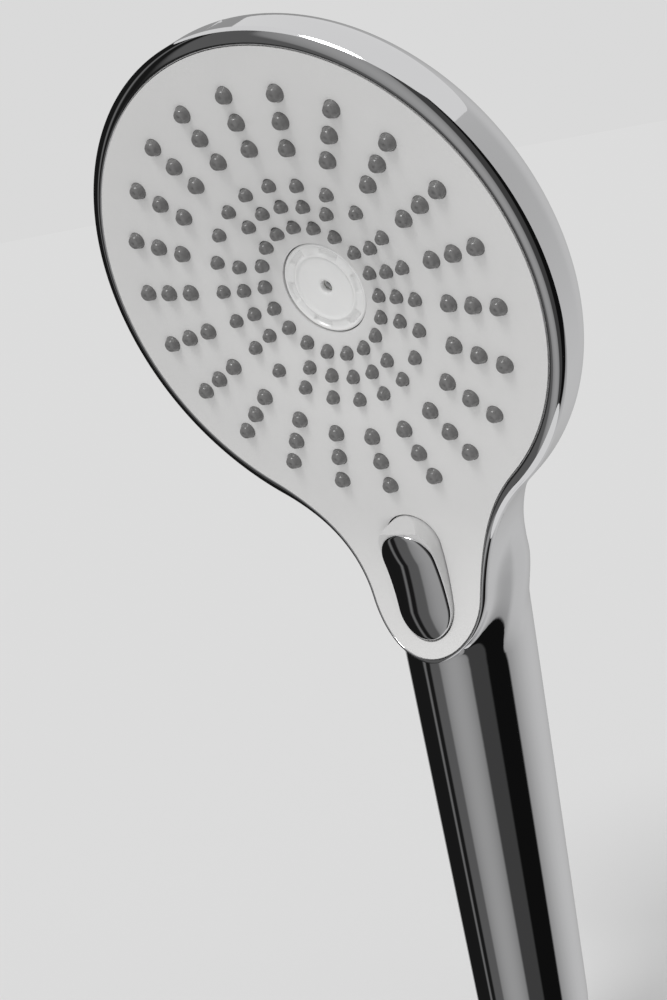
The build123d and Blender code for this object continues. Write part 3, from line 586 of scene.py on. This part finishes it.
# -------------------------------------------------------------------------- pieces
@dataclass
class Casing:
    """The chromed shell: head, neck and tapered handle in one flowing skin."""

    back_z: float = -25.0
    dome_radius: float = 216.25
    edge_round: float = 7.5
    neck_back: tuple[tuple[float, float], ...] = ((-98.0, -21.6), (-55.0, -26.6), (-12.0, -22.4))
    back_blend: float = 5.0
    dome_reach: float = 90.0
    tip_stop: float = -118.0
    crown_z: float = 30.0
    end_z: float = 10.0
    end_round: float = 0.8
    mouth: float = 11.2
    collar: float = 9.0
    collar_rise: float = 0.8
    collar_edge: float = 0.3
    collar_fade: tuple[float, float] = (34.0, 16.0)
    collar_least: float = 0.28
    outside: float = 30.0
    wall: float = 1.6
    columns: int = 121
    handle_rows: int = 56

    def neck_arc(self) -> tuple[float, float, float]:
        """Centre and radius of the circle through the three points of the neck's back."""
        (ay, az), (by, bz), (cy, cz) = self.neck_back
        d = 2 * (ay * (bz - cz) + by * (cz - az) + cy * (az - bz))
        a, b, c = ay * ay + az * az, by * by + bz * bz, cy * cy + cz * cz
        middle_y = (a * (bz - cz) + b * (cz - az) + c * (az - bz)) / d
        middle_z = (a * (cy - by) + b * (ay - cy) + c * (by - ay)) / d
        return middle_y, middle_z, math.hypot(ay - middle_y, az - middle_z)

    def distance(self, points: np.ndarray) -> np.ndarray:
        """How far face points lie outside the skin, negative inside.

        Args:
            points: array whose last axis is x, y, z over the face.

        Returns:
            Distances in millimetres.
        """
        x, y, z = np.moveaxis(points, -1, 0)
        around = RIM.distance(x, y)
        r = np.minimum(np.hypot(x, y), self.dome_reach)
        dome = self.back_z + self.dome_radius - np.sqrt(self.dome_radius ** 2 - r ** 2) - z
        middle_y, middle_z, radius = self.neck_arc()
        arc_z = middle_z - np.sqrt(np.maximum(radius ** 2 - (y - middle_y) ** 2, 1.0))
        neck = np.hypot(x, z - self.crown_z) - (self.crown_z - arc_z)
        head = round_join(around, smooth_min(dome, neck, self.back_blend), self.edge_round)
        front = SURFACE.height(0 * y + OFF_DISH, np.maximum(y, self.tip_stop))
        head = np.maximum(head, z - front + RIM_DEEP)
        row = FACE.to_row(points) / MM
        grip = np.hypot(row[..., 0], row[..., 1]) - GRIP.radius(row[..., 2])
        grip = np.where(row[..., 2] > GRIP.heights[-1], self.outside, grip)
        deep = front - z
        fade_from, fade_over = self.collar_fade
        fade = np.clip((fade_from - deep) / fade_over, self.collar_least, 1.0)
        soft = np.clip(self.collar_rise * deep, self.collar_edge, self.collar) * fade
        return smooth_min(head, grip, soft)

    def cast(self, origins: np.ndarray, rays: np.ndarray) -> np.ndarray:
        """Finds where rays from inside leave the skin.

        Args:
            origins: start points over the face.
            rays: unit directions.

        Returns:
            The points on the skin.
        """
        steps = np.arange(0.0, 110.0, 1.0)
        low = np.zeros(rays.shape[:-1])
        open_ray = np.ones(rays.shape[:-1], bool)
        for reach in steps:
            inside = self.distance(origins + rays * reach) < 0
            open_ray &= inside
            low = np.where(open_ray, reach, low)
        high = low + 1.0
        for _ in range(24):
            middle = (low + high) / 2
            inside = self.distance(origins + rays * middle[..., None]) < 0
            low, high = np.where(inside, middle, low), np.where(inside, high, middle)
        return origins + rays * ((low + high) / 2)[..., None]

    def sections(self) -> np.ndarray:
        """Rows of points round the skin, from the top of the head to the end of the handle.

        Returns:
            Array of rows by columns by x, y, z over the face.
        """
        rim = RIM.right_side(84, 26, 22)
        rim[0] = (0.02, RIM.head - 1e-4)
        rim_z = SURFACE.height(0 * rim[:, 0] + OFF_DISH, rim[:, 1])
        rim_z = rim_z - rim_depth(rim[:, 0], rim[:, 1])
        tip_y, tip_z = rim[-1, 1], rim_z[-1]
        turn = np.clip((-30.0 - rim[:, 1]) / (-30.0 - tip_y), 0, 1)
        turn = turn * turn * (3 - 2 * turn)
        tilt = np.radians(FACE.tilt) * turn
        back = np.stack([0 * tilt, -np.sin(tilt), -np.cos(tilt)], -1)
        tip = FACE.to_row(np.array((0.0, tip_y, tip_z))) / MM
        depth = 7.0 + (-tip[1] - 7.0) * turn
        start = np.stack([0 * tilt, rim[:, 1], rim_z], -1)
        origin = start + back * depth[:, None]
        wide = np.maximum(rim[:, 0], 17.0)
        deep = 15.0 + 2.5 * turn
        first = np.arctan2(-depth / deep, rim[:, 0] / wide)
        sweep = np.linspace(0, 1, self.columns)
        angle = first[:, None] + (np.pi - 2 * first[:, None]) * sweep
        ray = (np.cos(angle) * wide[:, None])[..., None] * np.array((1.0, 0, 0)) \
            + (np.sin(angle) * deep[:, None])[..., None] * back[:, None, :]
        ray /= np.linalg.norm(ray, axis=-1, keepdims=True)
        head = self.cast(np.broadcast_to(origin[:, None, :], ray.shape), ray)
        head[:, 0] = np.stack([rim[:, 0], rim[:, 1], rim_z], -1)
        head[:, -1] = head[:, 0] * (-1, 1, 1)
        head[0, :, 0] = 0.0
        heights = np.linspace(tip[2], self.end_z + self.end_round, self.handle_rows + 1)[1:]
        centre = FACE.to_face(np.stack([0 * heights, 0 * heights, heights], -1))
        angle = np.linspace(-np.pi / 2, 1.5 * np.pi, self.columns)
        ray = np.cos(angle)[:, None] * np.array((1.0, 0, 0)) + np.sin(angle)[:, None] * back[-1]
        ray = np.broadcast_to(ray, (len(heights), self.columns, 3))
        grip = self.cast(np.broadcast_to(centre[:, None, :], ray.shape), ray)
        return np.concatenate([head, grip])

    def end_rows(self) -> np.ndarray:
        """The rounded lower edge of the handle and the lip of its mouth, in metres."""
        bends = np.radians(np.linspace(15, 90, 6))
        rings = [(GRIP.radii[0] - self.end_round * (1 - math.cos(a)),
                  self.end_z + self.end_round * (1 - math.sin(a))) for a in bends]
        rings += [(self.mouth + 0.3, self.end_z), (self.mouth, self.end_z + 0.3),
                  (self.mouth, self.end_z + 6)]
        angle = np.linspace(-np.pi / 2, 1.5 * np.pi, self.columns)
        return np.array([[(r * math.cos(a), r * math.sin(a), z) for a in angle]
                         for r, z in rings]) * MM

    def build(self) -> bpy.types.Object:
        """Makes the skin with its wall.

        Returns:
            The casing piece.
        """
        rows = FACE.to_row(self.sections())
        rows = np.concatenate([rows, self.end_rows()])
        piece = new_mesh("casing_shell", rows, grid_faces(len(rows), self.columns))
        thicken(piece, self.wall)
        return piece


@dataclass
class Bezel:
    """The bright rounded trim between the spray plate and the casing."""

    gap: float = 0.1
    crest: float = 0.22
    roll: float = 72.0
    steps: tuple[int, int, int] = (150, 40, 40)

    def profile(self) -> list[tuple[float, float]]:
        """Points across the trim: share of its width, share of the rim depth."""
        inner = [(0.3, -1.0), (0.0, -1.0), (0.0, -0.24), (0.04, -0.09), (0.11, -0.02)]
        end = math.radians(self.roll)
        outer = []
        for step in range(11):
            a = end * step / 10
            outer.append((self.crest + (1 - self.crest) * math.sin(a) / math.sin(end),
                          -(1 - math.cos(a)) / (1 - math.cos(end))))
        return inner + outer + [(0.97, -1.08), (0.6, -1.03)]

    def build(self) -> bpy.types.Object:
        """Sweeps the profile round the keyhole outline.

        Returns:
            The trim piece.
        """
        inner, outer = PLATE.loop(*self.steps), RIM.loop(*self.steps)
        profile = self.profile()
        rows = []
        for p, q in zip(inner, outer):
            start = p + (q - p) * (self.gap / np.linalg.norm(q - p))
            across = [(start + (q - start) * u, z) for u, z in profile]
            depth = float(rim_depth(*q))
            rows.append([(x, y, SURFACE.height(np.array(OFF_DISH), np.array(y)) + z * depth)
                         for (x, y), z in across])
        points = FACE.to_row(np.array(rows, float))
        faces = grid_faces(len(rows), len(profile), wrap_rows=True, wrap_columns=True)
        piece = new_mesh("bezel_trim", points, faces)
        piece.data.set_sharp_from_angle(angle=math.radians(50))
        return piece


@dataclass
class Nozzles:
    """The soft nozzles: rings of little domes, made by Geometry Nodes."""

    outer: tuple[float, ...] = (50.8, 44.2, 37.6)
    inner: tuple[float, ...] = (28.0, 22.35, 16.6)
    per_ring: int = 22
    core_count: int = 18
    skipped: tuple[int, int] = (3, 14)
    no_skip: int = -50
    skip_step: float = 5.0
    outer_radius: float = 2.05
    inner_radius: float = 1.65
    tall: float = 1.95
    sides: int = 14
    profile: tuple[tuple[float, float], ...] = (
        (1.03, -0.2), (1.03, 0.1), (0.93, 0.22), (0.87, 0.5),
        (0.7, 0.84), (0.44, 0.99), (0.2, 0.97), (0.1, 0.86))

    def dome(self) -> bpy.types.Object:
        """One nozzle of unit radius and height, with its jet hole, in metres of the face."""
        turns = np.linspace(0, 2 * math.pi, self.sides, endpoint=False)
        rings = [[(r * math.cos(a), r * math.sin(a), z) for a in turns] for r, z in self.profile]
        points = np.array(rings).reshape(-1, 3)
        faces = grid_faces(len(rings), self.sides, wrap_columns=True)
        last = (len(rings) - 1) * self.sides
        faces += [tuple(range(self.sides)), tuple(range(last, last + self.sides))]
        return new_mesh("nozzle_dome", points, faces)

    def tree(self, material: bpy.types.Material) -> bpy.types.NodeTree:
        """The tree that sets domes on a ring.

        Args:
            material: finish of the nozzles.

        Returns:
            A tree with Dome, Count, Ring Radius, Lift, Width and Height inputs.
        """
        tree = bpy.data.node_groups.new("nozzle_ring", "GeometryNodeTree")
        for name, kind in (("Geometry", "NodeSocketGeometry"), ("Dome", "NodeSocketObject"),
                           ("Count", "NodeSocketInt"), ("Ring Radius", "NodeSocketFloat"),
                           ("Lift", "NodeSocketFloat"), ("Width", "NodeSocketFloat"),
                           ("Height", "NodeSocketFloat"), ("Skip", "NodeSocketInt"),
                           ("Skip Mirror", "NodeSocketInt")):
            tree.interface.new_socket(name, in_out="INPUT", socket_type=kind)
        tree.interface.new_socket("Geometry", in_out="OUTPUT", socket_type="NodeSocketGeometry")
        add, link = tree.nodes.new, tree.links.new
        inputs, output = add("NodeGroupInput").outputs, add("NodeGroupOutput")
        circle = add("GeometryNodeMeshCircle")
        link(inputs["Count"], circle.inputs["Vertices"])
        link(inputs["Ring Radius"], circle.inputs["Radius"])
        place = add("GeometryNodeTransform")
        place.inputs["Rotation"].default_value = (0, 0, -math.pi / 2)
        shift = add("ShaderNodeCombineXYZ")
        link(inputs["Lift"], shift.inputs["Z"])
        link(shift.outputs[0], place.inputs["Translation"])
        link(circle.outputs[0], place.inputs["Geometry"])
        index = add("GeometryNodeInputIndex")
        chosen = []
        for name in ("Skip", "Skip Mirror"):
            for half in (0, 1):
                shifted = add("ShaderNodeMath")
                shifted.inputs[1].default_value = self.skip_step * half
                link(inputs[name], shifted.inputs[0])
                same = add("FunctionNodeCompare")
                same.data_type, same.operation = "FLOAT", "EQUAL"
                same.inputs["Epsilon"].default_value = 0.1
                link(index.outputs[0], same.inputs[0])
                link(shifted.outputs[0], same.inputs[1])
                chosen.append(same.outputs[0])
        either = chosen[0]
        for other in chosen[1:]:
            joined = add("FunctionNodeBooleanMath")
            joined.operation = "OR"
            link(either, joined.inputs[0])
            link(other, joined.inputs[1])
            either = joined.outputs[0]
        remove = add("GeometryNodeDeleteGeometry")
        link(place.outputs[0], remove.inputs["Geometry"])
        link(either, remove.inputs["Selection"])
        info = add("GeometryNodeObjectInfo")
        link(inputs["Dome"], info.inputs["Object"])
        size = add("ShaderNodeCombineXYZ")
        for axis, name in (("X", "Width"), ("Y", "Width"), ("Z", "Height")):
            link(inputs[name], size.inputs[axis])
        instances = add("GeometryNodeInstanceOnPoints")
        link(remove.outputs[0], instances.inputs["Points"])
        link(info.outputs["Geometry"], instances.inputs["Instance"])
        link(size.outputs[0], instances.inputs["Scale"])
        real = add("GeometryNodeRealizeInstances")
        link(instances.outputs[0], real.inputs[0])
        paint = add("GeometryNodeSetMaterial")
        paint.inputs["Material"].default_value = material
        link(real.outputs[0], paint.inputs["Geometry"])
        link(paint.outputs[0], output.inputs[0])
        return tree

    def ring(self, tree: bpy.types.NodeTree, dome: bpy.types.Object, radius: float, count: int,
             width: float) -> bpy.types.Mesh:
        """Runs the tree for one ring.

        Args:
            tree: the ring tree.
            dome: the nozzle to repeat.
            radius: radius of the ring.
            count: nozzles round it.
            width: radius of a nozzle.

        Returns:
            A plain mesh over the face, in millimetres.
        """
        holder = bpy.data.objects.new("ring", bpy.data.meshes.new("ring"))
        bpy.context.scene.collection.objects.link(holder)
        modifier = holder.modifiers.new("ring", "NODES")
        modifier.node_group = tree
        drop = max(SURFACE.dish_radius - radius, 0) ** 2 / (2 * SURFACE.dish_curve)
        skip, mirror = self.skipped if radius == self.inner[1] else (self.no_skip, self.no_skip)
        values = {"Dome": dome, "Count": count, "Ring Radius": radius, "Lift": -drop,
                  "Width": width, "Height": self.tall, "Skip": skip, "Skip Mirror": mirror}
        for item in tree.interface.items_tree:
            if item.in_out == "INPUT" and item.name in values:
                modifier[item.identifier] = values[item.name]
        bpy.context.view_layer.update()
        evaluated = holder.evaluated_get(bpy.context.evaluated_depsgraph_get())
        mesh = bpy.data.meshes.new_from_object(evaluated)
        bpy.data.objects.remove(holder)
        return mesh

    def build(self, material: bpy.types.Material) -> list[tuple[bpy.types.Object, str]]:
        """Makes both sets of nozzles.

        Args:
            material: finish of the nozzles.

        Returns:
            Each piece with the CAD node it belongs with.
        """
        dome = self.dome()
        tree = self.tree(material)
        made = []
        for node, rings, width in (("outer_nozzle_mat", self.outer, self.outer_radius),
                                   ("inner_nozzle_mat", self.inner, self.inner_radius)):
            points, faces = [], []
            for radius in rings:
                count = self.core_count if radius == self.inner[2] else self.per_ring
                mesh = self.ring(tree, dome, radius, count, width)
                base = len(points)
                points += [tuple(v.co) for v in mesh.vertices]
                faces += [tuple(base + i for i in p.vertices) for p in mesh.polygons]
            piece = new_mesh(node.replace("_mat", "s"), FACE.to_row(np.array(points)), faces)
            piece.data.set_sharp_from_angle(angle=math.radians(60))
            made.append((piece, node))
        bpy.data.objects.remove(dome)
        return made


@dataclass
class ButtonCap:
    """The chromed saddle-shaped top of the selector button."""

    nose_y: float = -62.1
    heel_y: float = -90.8
    saddle: tuple[tuple[float, float], ...] = ((-62.1, 6.0), (-75.5, 5.9), (-90.8, 9.8))
    half_width: float = 8.0
    thick: float = 1.2
    crown: float = 1.7
    lift: float = 1.2
    sink: float = 0.5
    turn_in: float = 0.05
    edge: float = 0.6
    stations: int = 96
    rings: int = 14

    def top(self, y: np.ndarray) -> np.ndarray:
        """Height of the saddle, a curve through its three points.

        Args:
            y: face coordinates along the button.

        Returns:
            Height over the face plane.
        """
        (ay, az), (by, bz), (cy, cz) = self.saddle
        return (az * (y - by) * (y - cy) / ((ay - by) * (ay - cy))
                + bz * (y - ay) * (y - cy) / ((by - ay) * (by - cy))
                + cz * (y - ay) * (y - by) / ((cy - ay) * (cy - by)))

    def build(self) -> bpy.types.Object:
        """Makes the cap as rings that shrink from its edge to its middle line.

        Returns:
            The cap piece.
        """
        top_y, low_y = self.nose_y - self.half_width, self.heel_y + self.half_width
        count = 10
        left = [(top_y + (low_y - top_y) * k / count, -1.0, 0.0) for k in range(1, count)]
        right = [(low_y + (top_y - low_y) * k / count, 1.0, 0.0) for k in range(1, count)]
        turns = np.linspace(0, np.pi, self.stations // 2)
        line = [(top_y, math.cos(a), math.sin(a)) for a in turns]
        line += left + [(low_y, -math.cos(a), -math.sin(a)) for a in turns] + right
        rows = []
        reach = self.half_width
        bends = np.radians(np.linspace(0, 90, 6))
        profile = [(r, -self.thick) for r in (0.0, reach / 2, reach - self.turn_in)]
        profile += [(reach - self.edge * (1 - math.cos(b)), -self.edge * (1 - math.sin(b)))
                    for b in bends]
        profile += [(r, 0.0) for r in np.linspace(reach - self.edge, 0, self.rings)[1:]]
        for r, drop in profile:
            row = []
            for s, dx, dy in line:
                y = s + r * dy
                crown = self.lift - self.crown * (r / reach) ** 2
                low = crown if drop > -self.thick else -self.sink
                row.append((r * dx, y, float(self.top(np.array(y))) + low + drop))
            rows.append(row)
        points = FACE.to_row(np.array(rows))
        faces = grid_faces(len(rows), len(line), wrap_columns=True)
        piece = new_mesh("selector_cap", points, faces, merge=1e-5)
        piece.data.set_sharp_from_angle(angle=math.radians(55))
        return piece


@dataclass
class ButtonSpring:
    """The coil spring under the button."""

    seat: tuple[float, float, float] = (0.0, -76.0, -7.35)
    height: float = 7.5
    radius: float = 1.85
    wire: float = 0.25
    turns: int = 5
    steps: int = 24
    sides: int = 10
    keep: float = 0.70

    def build(self) -> bpy.types.Object:
        """Sweeps the wire along its helix.

        Returns:
            The spring piece.
        """
        rise = self.height / (2 * math.pi * self.turns)
        slope = math.hypot(self.radius, rise)
        rows = []
        for a in np.linspace(0, 2 * math.pi * self.turns, self.turns * self.steps + 1):
            out = np.array((math.cos(a), math.sin(a), 0.0))
            side = np.array((rise * math.sin(a), -rise * math.cos(a), self.radius)) / slope
            middle = np.array(self.seat) + self.radius * out + (0, 0, rise * a)
            rows.append([middle + self.wire * (math.cos(b) * out + math.sin(b) * side)
                         for b in np.linspace(0, 2 * math.pi, self.sides, endpoint=False)])
        faces = grid_faces(len(rows), self.sides, wrap_columns=True)
        last = (len(rows) - 1) * self.sides
        faces += [tuple(range(self.sides)), tuple(range(last, last + self.sides))]
        return new_mesh("selector_spring", FACE.to_row(np.array(rows)), faces, merge=0)

    def give(self, piece: bpy.types.Object) -> None:
        """Gives the spring a mesh of its own."""
        seat = np.array(self.seat)
        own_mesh(piece)


@dataclass
class CentreDisc:
    """The whitish clear disc in the middle, with arc slots in its rim and an eye hole."""

    top_z: float = -5.5
    radius: float = 11.45
    profile: tuple[tuple[float, float], ...] = (
        (1.6, -2.1), (1.6, -0.75), (1.75, -0.6), (2.6, -0.62), (5.0, -0.52), (7.2, -0.38),
        (7.7, -0.36), (7.85, -0.2), (8.05, -0.05), (8.35, 0.0), (8.6, -0.12), (8.75, -0.22),
        (9.1, -0.24), (9.5, -0.25), (9.9, -0.25), (10.3, -0.24), (10.6, -0.16), (10.8, -0.03),
        (11.05, 0.0), (11.3, -0.12), (11.45, -0.4), (11.45, -2.1))
    slot_from: float = 9.0
    slot_to: float = 10.35
    slot_drop: float = 0.55
    slots: int = 6
    slot_half: float = 15.0
    steps: int = 288

    def build(self) -> bpy.types.Object:
        """Turns the profile round the face axis and presses the slots into its rim.

        Returns:
            The disc piece.
        """
        rows = []
        pitch = 2 * math.pi / self.slots
        for step in range(self.steps):
            a = 2 * math.pi * step / self.steps
            off = abs((a + pitch / 2) % pitch - pitch / 2)
            inside = np.clip((math.radians(self.slot_half) - off) / math.radians(2.0), 0, 1)
            ring = []
            for r, z in self.profile:
                pressed = inside if self.slot_from < r < self.slot_to else 0.0
                height = self.top_z + z - self.slot_drop * pressed
                ring.append((r * math.cos(a), r * math.sin(a), height))
            rows.append(ring)
        faces = grid_faces(self.steps, len(self.profile), wrap_rows=True, wrap_columns=True)
        piece = new_mesh("spray_disc", FACE.to_row(np.array(rows)), faces)
        piece.data.set_sharp_from_angle(angle=math.radians(60))
        return piece


@dataclass
class CadParts:
    """The CAD nodes that are shown as they are, with finer materials."""

    materials: dict[str, bpy.types.Material] = field(default_factory=dict)

    def dress(self, replaced: set[str]) -> None:
        """Gives every CAD node that stays the material of its record slot.

        Args:
            replaced: nodes that other pieces stand for.
        """
        slots = {part["node"]: part["material_slot"] for part in frame["record"]["subparts"]}
        for node, piece in frame["nodes"].items():
            if node in replaced:
                continue
            material = self.materials[slots[node]]
            if not piece.material_slots:
                piece.data.materials.append(material)
            for slot in piece.material_slots:
                slot.link = "OBJECT"
                slot.material = material
            LOG.info("dressed %s in %s", node, material.name)


# --------------------------------------------------------------------------- stage
@dataclass(frozen=True)
class Band:
    """One upright band of the tent: a light box, a grey card or a black flag.

    A light box is brightest in its middle and loses the falloff's share at its edges.
    """

    name: str
    start: float
    end: float
    tone: float
    falloff: float = 0.0


@dataclass(frozen=True)
class Tent:
    """A round studio tent that only reflections see, made of soft-edged upright bands."""

    low: float = -0.6
    high: float = 0.5
    radius: float = 0.3
    steps: int = 360
    soft_edge: float = 3.0
    bands: tuple[Band, ...] = (
        Band("back_box", -180, -160, 0.3),
        Band("left_flag", -160, -100, 0.01),
        Band("strip_light", -100, -95, 0.15),
        Band("narrow_flag", -95, -85, 0.01),
        Band("grey_card", -85, -65, 0.1),
        Band("side_box", -65, -12, 0.33, 0.3),
        Band("dark_card", -12, 18, 0.05),
        Band("front_flag", 18, 57, 0.005),
        Band("right_box", 57, 180, 0.55, 0.45),
    )

    def tone(self, azimuth: float) -> float:
        """Brightness of the tent at an azimuth from its facing.

        Args:
            azimuth: angle in degrees.

        Returns:
            The tone of the band there, blended over the soft edges.
        """
        places, tones = [], []
        for band in self.bands:
            middle, half = (band.start + band.end) / 2, (band.end - band.start - self.soft_edge) / 2
            for share in np.linspace(-1, 1, 9):
                places.append(middle + half * share)
                tones.append(band.tone * (1 - band.falloff * share ** 2))
        return float(np.interp(azimuth, places, tones))


@dataclass
class Studio:
    """Pale floor, soft lights, the reflection tent and the camera."""

    camera_at: tuple[float, float, float] = (0.28124, -0.35302, 0.24959)
    camera_turn: tuple[float, float, float] = (79.830, 10.432, 40.185)
    lens: float = 65.87
    facing: float = -48.0
    tent: Tent = Tent()

    def place(self, name: str, data: bpy.types.ID) -> bpy.types.Object:
        """Puts a light or a camera into the scene and returns its object."""
        made = bpy.data.objects.new(name, data)
        bpy.context.scene.collection.objects.link(made)
        return made

    def add_tent(self) -> None:
        """Stands the tent round the shower head, with its tones on its points."""
        tent = self.tent
        azimuths = np.linspace(-180, 180, tent.steps + 1)
        turns = np.radians(self.facing + azimuths)
        rows = [[(tent.radius * math.cos(a), tent.radius * math.sin(a), z) for a in turns]
                for z in (tent.low, tent.high)]
        faces = grid_faces(2, len(azimuths))
        piece = new_mesh("tent", np.array(rows), faces, merge=0, recalc=False)
        tones = piece.data.attributes.new("tone", "FLOAT", "POINT")
        for k, value in enumerate(tones.data):
            value.value = tent.tone(azimuths[k % len(azimuths)])
        material = bpy.data.materials.new("tent_glow")
        material.use_nodes = True
        tree = material.node_tree
        tree.nodes.clear()
        glow = tree.nodes.new("ShaderNodeEmission")
        read = tree.nodes.new("ShaderNodeAttribute")
        read.attribute_name = "tone"
        tree.links.new(read.outputs["Fac"], glow.inputs["Strength"])
        tree.links.new(glow.outputs[0], tree.nodes.new("ShaderNodeOutputMaterial").inputs[0])
        piece.data.materials.append(material)
        piece.visible_camera = piece.visible_diffuse = piece.visible_shadow = False
        piece.visible_transmission = False

    def add_floor(self) -> bpy.types.Object:
        """Lays the pale floor under the shower head and returns it."""
        half, z = 40.0, CAD_BOX[0][2] - 0.0002
        floor = new_mesh("floor", np.array([(-half, -half, z), (half, -half, z), (half, half, z),
                                            (-half, half, z)]), [(0, 1, 2, 3)], recalc=False)
        shader = Shader("pale_floor")
        shader.set(Base_Color=(0.735, 0.735, 0.735, 1), Roughness=0.9, Specular_IOR_Level=0.0)
        floor.data.materials.append(shader.material)
        floor.visible_glossy = False
        return floor

    def add_sun(self, name: str, towards: tuple[float, float, float], spread: float,
                strength: float) -> None:
        """Adds an even, soft light from far away.

        Args:
            name: name of the light.
            towards: direction from the shower head to the light.
            spread: how wide the light looks, in degrees.
            strength: its strength.
        """
        data = bpy.data.lights.new(name, "SUN")
        data.angle, data.energy = math.radians(spread), strength
        light = self.place(name, data)
        light.rotation_euler = (-Vector(towards)).to_track_quat("-Z", "Y").to_euler()

    def add_fill(self, floor: bpy.types.Object) -> None:
        """Adds a low soft light that lifts the neck; reflections and the floor don't see it.

        Args:
            floor: the floor, which the light passes over.
        """
        data = bpy.data.lights.new("fill", "AREA")
        data.shape, data.size, data.energy = "DISK", 0.12, 0.075
        light = self.place("fill", data)
        light.location = (0.06, -0.2, 0.05)
        aim = Vector((0.0, -0.03, 0.15)) - light.location
        light.rotation_euler = aim.to_track_quat("-Z", "Y").to_euler()
        light.visible_camera = light.visible_glossy = False
        skipped = bpy.data.collections.new("fill_skips")
        skipped.objects.link(floor)
        skipped.collection_objects[0].light_linking.link_state = "EXCLUDE"
        light.light_linking.receiver_collection = skipped

    def add_camera(self) -> None:
        """Sets up the camera."""
        data = bpy.data.cameras.new("camera")
        data.lens, data.sensor_width, data.sensor_fit = self.lens, 36.0, "AUTO"
        data.clip_start = 0.01
        camera = self.place("camera", data)
        camera.location = self.camera_at
        camera.rotation_euler = Euler([math.radians(a) for a in self.camera_turn], "XYZ")
        bpy.context.scene.camera = camera

    def build(self) -> None:
        """Builds the whole stage."""
        scene = bpy.context.scene
        scene.view_settings.view_transform = "Standard"
        world = bpy.data.worlds.new("soft_room")
        scene.world = world
        world.use_nodes = True
        background = world.node_tree.nodes["Background"]
        background.inputs["Color"].default_value = (0.70, 0.70, 0.70, 1)
        background.inputs["Strength"].default_value = 1.0
        self.add_camera()
        floor = self.add_floor()
        self.add_tent()
        self.add_sun("key", (0.03, -0.6, 0.77), 22.0, 1.1)
        self.add_fill(floor)
        LOG.info("stage ready")


def main() -> None:
    """Builds the shower head in order, then the stage."""
    effect = wear_effect()
    materials = {slot: finish.build(effect) for slot, finish in FINISHES.items()}
    Studio().build()
    dress(Casing().build(), materials["chrome"], "chrome", Body.SHELL, "casing")
    dress(Bezel().build(), materials["chrome"], "chrome", Body.SHELL, "front_bezel")
    for piece, node in Nozzles().build(materials["grey_silicone"]):
        dress(piece, materials["grey_silicone"], "grey_silicone", Body.SHELL, node)
    dress(ButtonCap().build(), materials["chrome"], "chrome", Body.BUTTON, "button_cap")
    dress(CentreDisc().build(), materials["clear_disc"], "clear_disc", Body.SHELL, "centre_disc")
    spring = ButtonSpring()
    coil = spring.build()
    dress(coil, materials["steel"], "steel", Body.SHELL, "button_spring")
    spring.give(coil)
    replaced = {"casing", "front_bezel", "outer_nozzle_mat", "inner_nozzle_mat", "button_cap",
                "centre_disc", "button_spring"}
    CadParts(materials).dress(replaced)


if __name__ == "__main__":
    logging.basicConfig(level=logging.INFO, format="%(name)s: %(message)s")
    main()
